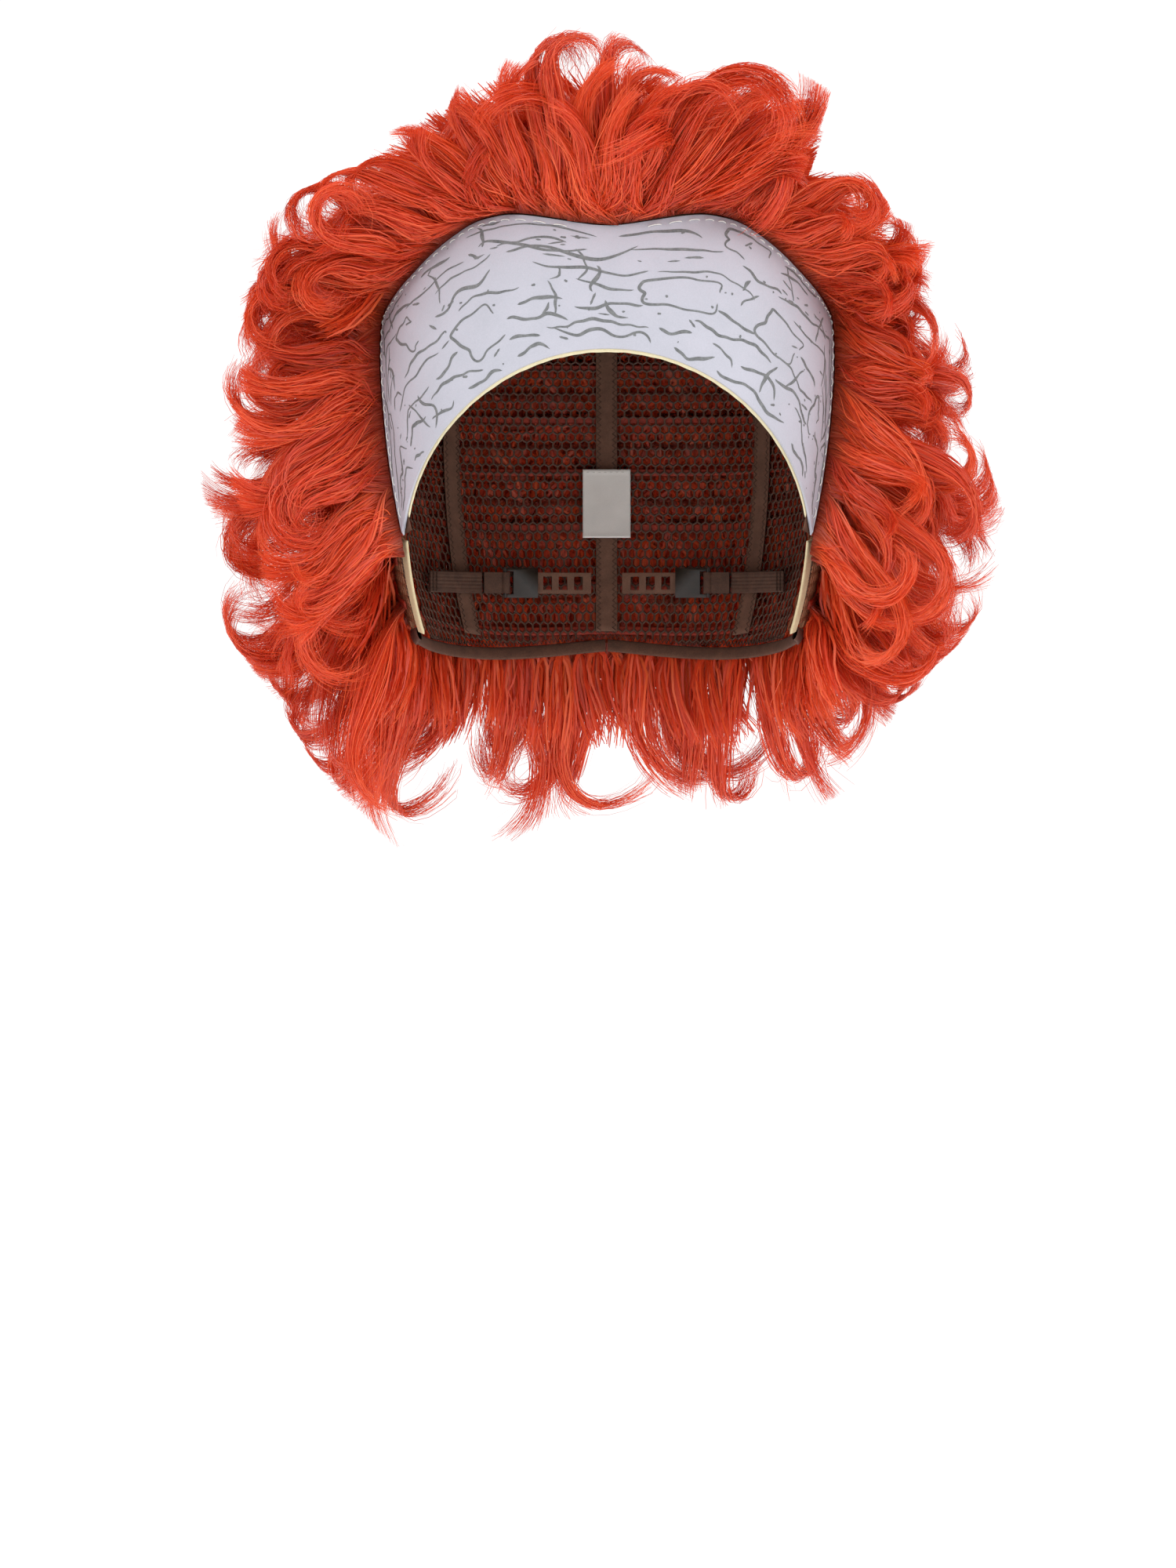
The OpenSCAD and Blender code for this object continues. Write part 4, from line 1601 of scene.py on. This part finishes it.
    def room(self, root: Array, heading: Array) -> Array:
        """Find how far each root is from the outside of the hair.

        Args:
            root: (n, 3) places.
            heading: (n, 3) unit vectors to look along.

        Returns:
            (n,) distances in millimetres.
        """
        low, high = np.full(len(root), 12.0), np.full(len(root), 190.0)
        for _ in range(14):
            mid = 0.5 * (low + high)
            at = root + mid[:, None] * heading
            inside = np.linalg.norm(at, axis=1) < self.envelope.reach(unit(at))
            low, high = np.where(inside, mid, low), np.where(inside, high, mid)
        return low

    def turns(self, count: int, curled: float) -> Array:
        """How far locks turn in all.

        Args:
            count: How many locks.
            curled: The share that curls right round; the rest only sweep.

        Returns:
            Angles in radians.
        """
        sweeping = self.rng.uniform(0.5, 1.8, count)
        curls = self.rng.uniform(0, 1, count) < curled
        return np.where(curls, self.rng.uniform(2.3, 3.9, count), sweeping)

    @staticmethod
    def gathered(root: Array, heading: Array) -> tuple[Array, Array]:
        """Comb headings together into clumps, as seen from the front, and shorten the hair between them.

        Args:
            root: (n, 3) places.
            heading: (n, 3) unit vectors.

        Returns:
            The combed headings and the share of each one's length that stays.
        """
        at = root + 60 * heading
        angle = np.arctan2(at[:, 2], at[:, 0])
        phase = 15 * angle + 1.4 * np.sin(3 * angle) + 0.9 * np.sin(5 * angle + 1)
        round_ = np.stack([-np.sin(angle), 0 * angle, np.cos(angle)], axis=1)
        return unit(heading - 0.2 * np.sin(phase)[:, None] * round_), 0.93 + 0.07 * np.cos(phase)

    @staticmethod
    def extent(turn: Array, start: Array) -> Array:
        """How far a lock of length one gets from its root before it curls back.

        Args:
            turn: How far each lock turns in all, in radians.
            start: The share of each that stays straight.

        Returns:
            (n,) distances.
        """
        s = np.linspace(0, 1, 40)[None, :]
        g = np.clip((s - start[:, None]) / (1 - start[:, None]), 0, 1) ** 1.5
        x = np.cumsum(np.cos(turn[:, None] * g), axis=1) / 40
        return x.max(axis=1)

    def batch(
        self,
        where: dict[str, Array],
        heading: Array,
        bend: Array,
        across: Array,
        **other: Array,
    ) -> Locks:
        """Square up the bends, work out lengths and gather a batch.

        Args:
            where: The roots, as row() gives them.
            heading: Directions in which the locks run.
            bend: Directions toward which they curl.
            across: Directions of the weft.
            other: "reach", "turn", "start", "width", "tip", "density" and "region", one value to a lock.

        Returns:
            The batch.
        """
        n = len(heading)
        heading = unit(heading)
        bend = unit(bend - heading * np.sum(bend * heading, axis=1, keepdims=True))
        return Locks(
            root=where["root"],
            heading=heading,
            rise=unit(where["normal"] + 0.5 * heading + np.array([0, -0.35, 0])),
            bend=bend,
            across=across,
            length=other["reach"] / self.extent(other["turn"], other["start"]),
            turn=other["turn"],
            start=other["start"],
            drift=self.rng.normal(0, 0.12, n),
            width=other["width"],
            tip=other["tip"],
            shade=self.rng.uniform(0, 1, n),
            strands=(other["width"] * other["density"]).astype(int),
            region=other["region"],
        )

    @staticmethod
    def in_front_view(angle: Array, forward: Array) -> tuple[Array, Array]:
        """Turn angles in the front view into headings.

        Args:
            angle: Degrees anticlockwise from +X.
            forward: How far the headings lean toward the face.

        Returns:
            The headings and the clockwise side of each.
        """
        a = np.radians(angle)
        heading = np.stack([np.cos(a), -forward + 0 * a, np.sin(a)], axis=1)
        return unit(heading), np.stack([np.sin(a), 0 * a, -np.cos(a)], axis=1)

    def front_where(self, s: Array, out: float, lift: float) -> tuple[dict[str, Array], Array, Array]:
        """Put roots on the front weft.

        Args:
            s: Their runs along the panel's edge.
            out: Degrees behind the edge.
            lift: Millimetres from the head.

        Returns:
            The roots as row() gives them, the weft's direction and the number of the mass at each.
        """
        az, el = OUTLINE.edge(s, out)
        where = self.row(az, el, np.full(len(s), lift))
        az0, el0 = OUTLINE.edge(np.clip(s - 0.01, -1, 1), out)
        az1, el1 = OUTLINE.edge(np.clip(s + 0.01, -1, 1), out)
        return where, unit(HEAD.place(az1, el1) - HEAD.place(az0, el0)), self.region_of(az, el)

    def front_locks(self) -> Locks:
        """The styled locks of the first weft."""
        table = np.array([astuple(lock) for lock in self.styled])
        s, angle, reach, curl, start, forward, width, tip = table.T
        where, along, region = self.front_where(s, 0.7, self.root_lift + 0.3)
        heading, clockwise = self.in_front_view(angle, forward)
        bend = clockwise * np.sign(curl)[:, None] + self.rng.normal(0, 0.16, heading.shape)
        return self.batch(
            where, heading, bend, along, reach=reach, turn=np.radians(abs(curl)), start=start, width=width,
            tip=tip, density=np.full(len(s), self.styled_density), region=region)

    def front_rows(self) -> Locks:
        """Three overlapping layers of locks behind the panel."""
        rng, batches = self.rng, []
        for layer, (out, count, forward, lift) in enumerate(self.front_layers):
            s = np.linspace(-0.99, 0.99, count) + rng.uniform(-0.009, 0.009, count)
            where, along, region = self.front_where(s, out, self.root_lift + lift)
            sweep = 9 * np.sin(2 * math.pi * (s * 2.6 + layer * 0.21)) + rng.normal(0, 4, count)
            angle = np.interp(s, self.combed_run, self.combed_to) + sweep
            heading, clockwise = self.in_front_view(angle, forward + rng.normal(0, 0.08, count))
            heading, full = self.gathered(where["root"], heading)
            z = where["root"][:, 2]
            falls = rng.uniform(0, 1, count) < np.interp(z, (-50, -25, 10, 60), (0.35, 0.5, 0.72, 0.8))
            sense = np.where(falls, 1.0, -1.0) * np.where(where["root"][:, 0] + 6 > 0, 1.0, -1.0)
            bend = clockwise * sense[:, None] + rng.normal(0, 0.42, heading.shape)
            fan = abs(s) < 0.27
            reach = self.room(where["root"], heading) * rng.uniform(0.84, 1.04, count)
            reach = reach * np.where(fan, 0.7, full)
            turn = np.where(fan, rng.uniform(0.2, 1.0, count), self.turns(count, 0.3))
            batches.append(self.batch(
                where, heading, bend, along, reach=reach, turn=turn,
                start=rng.uniform(0.35, 0.68, count), width=rng.uniform(12, 17, count),
                tip=rng.uniform(0.3, 0.5, count), density=np.full(count, self.front_density), region=region))
        return Locks.merge(batches)

    def net_rows(self) -> Locks:
        """The rows round the sides and back and the rings on the crown."""
        rng, batches = self.rng, []
        for el0, start in self.side_rows + self.crown_rows:
            span = 360 - 2 * start
            girth = math.radians(span) * self.girth_radius * math.cos(math.radians(el0))
            count = max(8, int(girth / (8.0 if el0 < -30 else 9.0)))
            az = (start + span * (np.arange(count) + 0.5) / count + rng.uniform(-1.5, 1.5, count)) % 360
            el = np.full(count, float(el0)) + rng.uniform(-2.2, 2.2, count)
            where = self.row(az, el, np.full(count, self.root_lift))
            root = where["root"]
            fall = np.interp(root[:, 2], (-90, -60, -20, 25), (2.2, 1.15, 0.4, 0.0))
            level = unit(where["normal"] * np.array([1, 1, 0.5]))
            heading = level * 0.6 + unit(root) * 0.4 + fall[:, None] * np.array([0, 0, -1.0])
            high = smooth((el0 - 5) / 25)
            heading += high * rng.normal(0, 0.4, (count, 1)) * where["level"]
            heading += high * rng.uniform(-0.75, 0.3, (count, 1)) * where["up"]
            if el0 > 60:
                heading = heading + 0.7 * where["level"] - 0.5 * where["up"]
            heading, full = self.gathered(root, unit(unit(heading) + rng.normal(0, 0.13, heading.shape)))
            falls = rng.uniform(0, 1, count) < np.interp(root[:, 2], (-60, 0), (0.35, 0.72))
            bend = np.where(falls, -1.0, 1.0)[:, None] * where["up"] + rng.normal(0, 0.6, heading.shape)
            bend = bend + where["normal"] * (0.8 * (root[:, 2] < -40))[:, None]
            longer = np.interp(root[:, 2], (-90, -55, -10), (1.62, 1.38, 1.0))
            longer = np.where((root[:, 1] < 0) & (root[:, 2] > 45), 0.95, longer)
            reach = self.room(root, heading) * rng.uniform(0.82, 1.05, count) * longer * full
            on_crown = el0 > 35
            density = self.crown_density if on_crown else self.net_density
            batches.append(self.batch(
                where, heading, bend, where["level"], reach=reach,
                turn=self.turns(count, 0.6 if on_crown else 0.4), start=rng.uniform(0.3, 0.62, count),
                width=rng.uniform(14, 20, count), tip=rng.uniform(0.3, 0.55, count),
                density=np.full(count, density), region=self.region_of(az, el)))
        return Locks.merge(batches)

    def under_layer(self) -> Locks:
        """Short straight hair that lies over the net from one row to the next and hides it."""
        rng, batches = self.rng, []
        for el0, start in self.side_rows + self.crown_rows + self.filler_rows:
            span = 360 - 2 * start
            girth = math.radians(span) * self.girth_radius * math.cos(math.radians(el0))
            count = max(10, int(girth / self.under_pitch))
            az = (start + span * (np.arange(count) + 0.5) / count) % 360
            where = self.row(az, np.full(count, float(el0)) + rng.uniform(-0.5, 0.5, count),
                             np.full(count, self.root_lift - 0.6))
            lift = np.where(np.arange(count) % 2, 0.18, 0.42)[:, None]
            wide = abs(from_front(az))
            to_panel = 1.6 * (el0 - NetCap.crown_hem(wide)) + 4
            most = np.where((wide < 62) & (el0 > 33), to_panel, 44.0)
            heading = lift * where["normal"] - where["up"] + rng.normal(0, 0.05, (count, 3))
            batches.append(self.batch(
                where, heading, where["normal"], where["level"],
                reach=np.minimum(rng.uniform(32, 44, count), most), turn=rng.uniform(0.1, 0.8, count),
                start=np.full(count, 0.4), width=np.full(count, 13.0), tip=np.full(count, 1.0),
                density=np.full(count, self.under_density), region=self.region_of(az, np.full(count, el0))))
        return Locks.merge(batches)

    # ---- Which mass a lock belongs to ----

    MASSES = (
        "quiff", "crown_top", "temple", "crown_back", "side_upper", "side_middle", "side_lower",
        "nape_side", "back_upper", "back_lower", "nape_back",
    )
    SINGLE = ("quiff", "crown_top")

    def region_of(self, az: Array, el: Array) -> Array:
        """Say which hair mass roots belong to.

        Args:
            az: Their azimuths.
            el: Their elevations.

        Returns:
            The mass's place in MASSES, doubled, plus 1 on the right.
        """
        az = from_front(az)
        wide = abs(az)
        names = np.full(az.shape, "side_middle", dtype=object)
        names[(el > 5)] = "side_upper"
        names[(el < -24)] = "side_lower"
        names[(el < -40) & (wide < 122)] = "nape_side"
        back = wide >= 122
        names[back & (el > 0)] = "back_upper"
        names[back & (el <= 0)] = "back_lower"
        names[back & (el <= -34)] = "nape_back"
        names[(el > 38) & (wide >= 80)] = "crown_back"
        names[(wide < 80) & (el > 22)] = "temple"
        names[(wide < 38) & (el > 22)] = "quiff"
        names[el > 68] = "crown_top"
        index = np.array([self.MASSES.index(n) for n in names.ravel()]).reshape(names.shape)
        right = np.where((az > 0) & ~np.isin(names, self.SINGLE), 1, 0)
        return index * 2 + right

    # ---- Growing the strands ----

    def grow(self, locks: Locks, points: int, strand_width: float) -> dict[str, Array]:
        """Turn locks into strands.

        Args:
            locks: The locks to grow.
            points: Points along each strand.
            strand_width: Width of a strand in millimetres.

        Returns:
            "path" (n, points, 3), "across" (n, 3), "width" (n,), "region" (n,) and "shade" (n, 2).
        """
        rng = self.rng
        lock = np.repeat(np.arange(len(locks.root)), locks.strands)
        n = len(lock)
        s = (np.linspace(0, 1, points) ** 1.08)[None, :]
        wild = rng.uniform(0, 1, n) < self.stray_share
        loose = np.where(wild, self.stray_looseness, 1.0)
        u = rng.uniform(-1, 1, n)
        v = np.clip(rng.normal(0, 0.5, n), -1, 1)
        cut = rng.beta(6, 1.3, n) * 1.1
        length = locks.length[lock] * np.where(wild, rng.uniform(0.6, 1.1, n), cut)
        turn = locks.turn[lock] * (1 + 0.10 * u + rng.normal(0, 0.06, n) * loose)
        start = np.clip(locks.start[lock] + 0.05 * v + rng.normal(0, 0.02, n), 0.08, 0.75)[:, None]
        full = locks.length[lock]
        reach = s * length[:, None]
        g = np.clip((reach / full[:, None] - start) / (1 - start), 0, 1.1) ** 1.5
        wave = rng.normal(0, 0.045, n)[:, None] * loose[:, None]
        phase = rng.uniform(0, 6.3, n)[:, None]
        waves = rng.uniform(0.7, 1.8, n)[:, None]
        phi = turn[:, None] * g + wave * np.sin(2 * math.pi * s * waves + phase)
        step = np.diff(reach, axis=1)
        mid = 0.5 * (phi[:, 1:] + phi[:, :-1])
        zero = np.zeros((n, 1))
        x = np.concatenate([zero, np.cumsum(np.cos(mid) * step, axis=1)], axis=1)[..., None]
        y = np.concatenate([zero, np.cumsum(np.sin(mid) * step, axis=1)], axis=1)[..., None]

        heading = unit(locks.heading[lock] + rng.normal(0, 0.016, (n, 3)) * loose[:, None])
        bend = locks.bend[lock] + rng.normal(0, 0.04, (n, 3)) * loose[:, None]
        bend = unit(bend - heading * np.sum(bend * heading, axis=1, keepdims=True))
        third = np.cross(heading, bend)
        drift = (locks.drift[lock] + rng.normal(0, 0.02, n) * loose)[:, None] * g * full[:, None]
        path = x * heading[:, None] + y * bend[:, None] + drift[..., None] * third[:, None]

        across = locks.across[lock]
        half = 0.5 * locks.width[lock]
        open_up = smooth(s / 0.4)[..., None]
        shrink = (1 - (1 - locks.tip[lock])[:, None] * smooth((s - 0.25) / 0.75))[..., None]
        inward = -np.sin(phi)[..., None] * heading[:, None] + np.cos(phi)[..., None] * bend[:, None]
        flat = (u * half * 0.8)[:, None, None] * third[:, None]
        flat = flat + (v * half * 0.62)[:, None, None] * inward
        weft = (u * half * 1.15)[:, None, None] * across[:, None]
        offset = weft * (1 - open_up) + flat * open_up * shrink
        away = (locks.rise[lock] - heading)[:, None] * 4.5 * (1 - np.exp(-reach / 4.5))[..., None]
        frizz = np.zeros((n, points, 3))
        for count, size in ((1.2, 0.55), (2.7, 0.18)):
            turns = rng.uniform(0, 6.3, (n, 1, 3))
            frizz += size * np.sin(2 * math.pi * count * s[..., None] + turns) * loose[:, None, None]
        frizz = (frizz - frizz[:, :1]) * smooth(s / 0.5)[..., None]
        path = locks.root[lock][:, None] + self.tame(locks.root[lock], path + away + offset + frizz)
        width = strand_width * np.where(wild, 0.6, 1.0) * rng.uniform(0.8, 1.2, n)
        shade = np.stack([rng.uniform(0, 1, n), locks.shade[lock]], axis=1)
        region = locks.region[lock]
        return {"path": path, "across": across, "width": width, "region": region, "shade": shade}

    def tame(self, root: Array, path: Array) -> Array:
        """Pull in strands that stray far outside the hair and lift those that would enter the cap.

        Args:
            root: (n, 3) places.
            path: (n, points, 3) places along each strand, from its root.

        Returns:
            The paths put right.
        """
        for _ in range(3):
            at = root[:, None] + path
            over = np.linalg.norm(at, axis=2) / self.envelope.reach(unit(at))
            worst = over.max(axis=1)
            path = path * np.where(worst > 1.045, 1 - 1.1 * (worst - 1.03), 1.0)[:, None, None]
        at = root[:, None] + path
        radius = np.linalg.norm(at, axis=2, keepdims=True)
        direction = at / radius
        lowest = HEAD.skin(direction, self.root_lift + 0.2)[..., None]
        clear = 50.0 / np.maximum(np.linalg.norm(direction[..., :2], axis=2, keepdims=True), 0.2)
        lowest = np.where(direction[..., 2:] < -0.62, np.maximum(lowest, clear), lowest)
        return path + direction * np.maximum(lowest - radius, 0)

    def ribbons(self, name: str, strands: dict[str, Array], pick: Array) -> bpy.types.Object:
        """Make one mesh of flat ribbons, each with its own shade and its own strip of the bake map.

        Args:
            name: The piece's name.
            strands: Strands as grow() gives them.
            pick: Which of them the piece has.

        Returns:
            The new object.
        """
        path, across = strands["path"][pick], strands["across"][pick]
        n, k = path.shape[:2]
        along = np.empty_like(path)
        along[:, 1:-1] = path[:, 2:] - path[:, :-2]
        along[:, 0], along[:, -1] = path[:, 1] - path[:, 0], path[:, -1] - path[:, -2]
        along = unit(along)
        side = np.empty_like(path)
        side[:, 0] = unit(across - along[:, 0] * np.sum(across * along[:, 0], axis=1, keepdims=True))
        for j in range(1, k):
            prior = side[:, j - 1]
            side[:, j] = unit(prior - along[:, j] * np.sum(prior * along[:, j], axis=1, keepdims=True))
        lift = np.cross(along, side)
        s = np.linspace(0, 1, k)[None, :]
        twist = self.rng.normal(0, 0.6, n)[:, None] + self.rng.normal(0, 0.5, n)[:, None] * s
        face = side * np.cos(twist)[..., None] + lift * np.sin(twist)[..., None]
        half = 0.5 * strands["width"][pick][:, None] * (1 - 0.72 * s**3)
        edge = face * half[..., None]
        points = np.stack([path - edge, path + edge], axis=2).reshape(-1, 3)
        base = (np.arange(n)[:, None] * k + np.arange(k - 1)[None, :]).ravel() * 2
        faces = np.stack([base, base + 1, base + 3, base + 2], axis=1)
        obj = make_mesh(name, points, faces)
        self.paint(obj.data, strands["shade"][pick], n, k)
        self.lay_out(obj.data, n, k)
        return obj

    @staticmethod
    def paint(mesh: bpy.types.Mesh, shade: Array, n: int, k: int) -> None:
        """Store each strand's own shade, the way along it (which the material uses to paint shade near the
        root) and its lock's shade as colours.

        Args:
            mesh: The ribbons.
            shade: (n, 2) shades of strand and lock.
            n: How many strands.
            k: Points along each.
        """
        colours = np.ones((n, k, 2, 4), np.float32)
        colours[..., 0] = shade[:, 0, None, None]
        # The way along each strand, from which the material paints shade near the root
        colours[..., 1] = np.linspace(0, 1, k)[None, :, None]
        colours[..., 2] = shade[:, 1, None, None]
        layer = mesh.color_attributes.new("Strand", "FLOAT_COLOR", "POINT")
        layer.data.foreach_set("color", colours.ravel())

    @staticmethod
    def lay_out(mesh: bpy.types.Mesh, n: int, k: int) -> None:
        """Give every strand its own thin strip of the bake map.

        Args:
            mesh: The ribbons.
            n: How many strands.
            k: Points along each.
        """
        columns = 4
        rows = math.ceil(n / columns)
        strand = np.arange(n)
        left = (strand % columns) / columns
        low = (strand // columns) / rows
        s = np.linspace(0.02, 0.98, k) / columns
        corners = np.empty((n, k, 2, 2), np.float32)
        corners[..., 0] = (left[:, None] + s[None, :])[..., None]
        corners[..., 1] = low[:, None, None] + np.array([0.15, 0.85])[None, None, :] / rows
        loops = np.empty(len(mesh.loops), np.int32)
        mesh.loops.foreach_get("vertex_index", loops)
        layer = mesh.uv_layers.new(name="OFBake")
        layer.data.foreach_set("uv", corners.reshape(-1, 2)[loops].ravel())

    def build(self) -> None:
        """Grow every lock and make one piece for each hair mass, or several for a big one."""
        material = CurledFibre().material()
        locks = Locks.merge([self.front_locks(), self.front_rows(), self.net_rows()])
        strands = self.grow(locks, self.points, self.strand_width)
        LOG.info("%d locks, %d strands", len(locks.root), len(strands["path"]))
        under = self.grow(self.under_layer(), self.under_points, self.under_width * self.strand_width)
        for index, mass in enumerate(self.MASSES):
            sides = [None] if mass in self.SINGLE else list(Side)
            for side in sides:
                number = index * 2 + (1 if side is Side.RIGHT else 0)
                suffix = "" if side is None else f"_{side.word}"
                chosen = np.flatnonzero(strands["region"] == number)
                parts = math.ceil(len(chosen) / self.most_strands)
                for part in range(parts):
                    name = f"{mass}_curls{suffix}" + (f"_{part + 1}" if part else "")
                    piece = self.ribbons(name, strands, chosen[part::parts])
                    settle(piece, [f"hair_{mass}{suffix}"], material)
                below = self.ribbons(f"{mass}_underhair{suffix}", under, under["region"] == number)
                settle(below, [], material)


# ==== Studio ====


@dataclass
class Studio:
    """A pale floor, soft white light and the camera, level with the wearer's collar."""

    frame_height: float = 0.570
    distance: float = 4.0
    lens_sensor: float = 36.0
    aim_x: float = -0.007
    aim_z: float = -0.1425
    focus_y: float = -0.05
    floor_level: float = -0.62
    floor_reach: float = 40.0
    sky_strength: float = 1.05

    # Soft boxes: name, place in metres, size in metres and power in watts
    boxes: tuple[tuple[str, tuple[float, float, float], float, float], ...] = (
        ("key_box", (-1.7, -1.9, 1.4), 1.2, 21),
        ("fill_box", (2.2, -1.4, 0.5), 1.4, 19),
        ("rim_box", (0.4, 2.1, 1.8), 1.8, 20),
    )

    def camera(self) -> None:
        """Place the camera square on to the face opening."""
        data = bpy.data.cameras.new("camera")
        data.sensor_width = self.lens_sensor
        data.lens = self.lens_sensor * self.distance / self.frame_height
        data.clip_end = 100
        obj = bpy.data.objects.new("camera", data)
        obj.location = (self.aim_x, self.focus_y - self.distance, self.aim_z)
        obj.rotation_euler = (math.pi / 2, 0, 0)
        bpy.context.scene.collection.objects.link(obj)
        bpy.context.scene.camera = obj

    def light(self, name: str, at: Sequence[float], size: float, power: float) -> None:
        """Hang one soft box aimed at the wig.

        Args:
            name: The light's name.
            at: Its place in metres.
            size: Its side in metres.
            power: Its power in watts.
        """
        data = bpy.data.lights.new(name, "AREA")
        data.shape = "SQUARE"
        data.size = size
        data.energy = power
        obj = bpy.data.objects.new(name, data)
        obj.location = at
        aim = -np.array(at, float)
        flat = math.hypot(aim[0], aim[1])
        tilt, turn = math.atan2(aim[2], flat), math.atan2(aim[1], aim[0])
        obj.rotation_euler = (math.pi / 2 + tilt, 0, turn - math.pi / 2)
        bpy.context.scene.collection.objects.link(obj)

    def build(self) -> None:
        """Set up floor, world, lights and camera."""
        material, tree, out = new_material("matt_white_floor_paint")
        grain = node(tree, "ShaderNodeTexNoise", {"Scale": 3.0, "Detail": 2.0})
        tone = ramp(tree, grain.outputs["Fac"], [(0.0, "FBFBFA"), (1.0, "FDFDFC")])
        coat = node(
            tree, "ShaderNodeBsdfPrincipled", {"Roughness": 0.9}, {"Base Color": tone.outputs["Color"]})
        tree.links.new(coat.outputs[0], out.inputs["Surface"])
        corners = np.array([[-1, -1, 0], [1, -1, 0], [1, 1, 0], [-1, 1, 0]]) * self.floor_reach / MM
        corners[:, 2] = self.floor_level / MM
        floor = make_mesh("studio_floor", corners, np.array([[0, 1, 2, 3]]), False)
        floor.data.materials.append(material)

        world = bpy.data.worlds.new("studio")
        world.use_nodes = True
        sky = world.node_tree.nodes["Background"]
        sky.inputs["Color"].default_value = linear("FFFFFF")
        sky.inputs["Strength"].default_value = self.sky_strength
        scene = bpy.context.scene
        scene.world = world
        scene.view_settings.view_transform = "Standard"
        for box in self.boxes:
            self.light(*box)
        self.camera()


def main() -> None:
    """Build every sub-assembly in order."""
    logging.basicConfig(level=logging.INFO, format="%(name)s: %(message)s")
    ForeheadPanel().build()
    NetCap().build()
    WeftTracks().build()
    for side in Side:
        NapeAdjuster(side).build()
    CareLabel().build()
    CurlyHair().build()
    Studio().build()


if __name__ == "__main__":
    main()
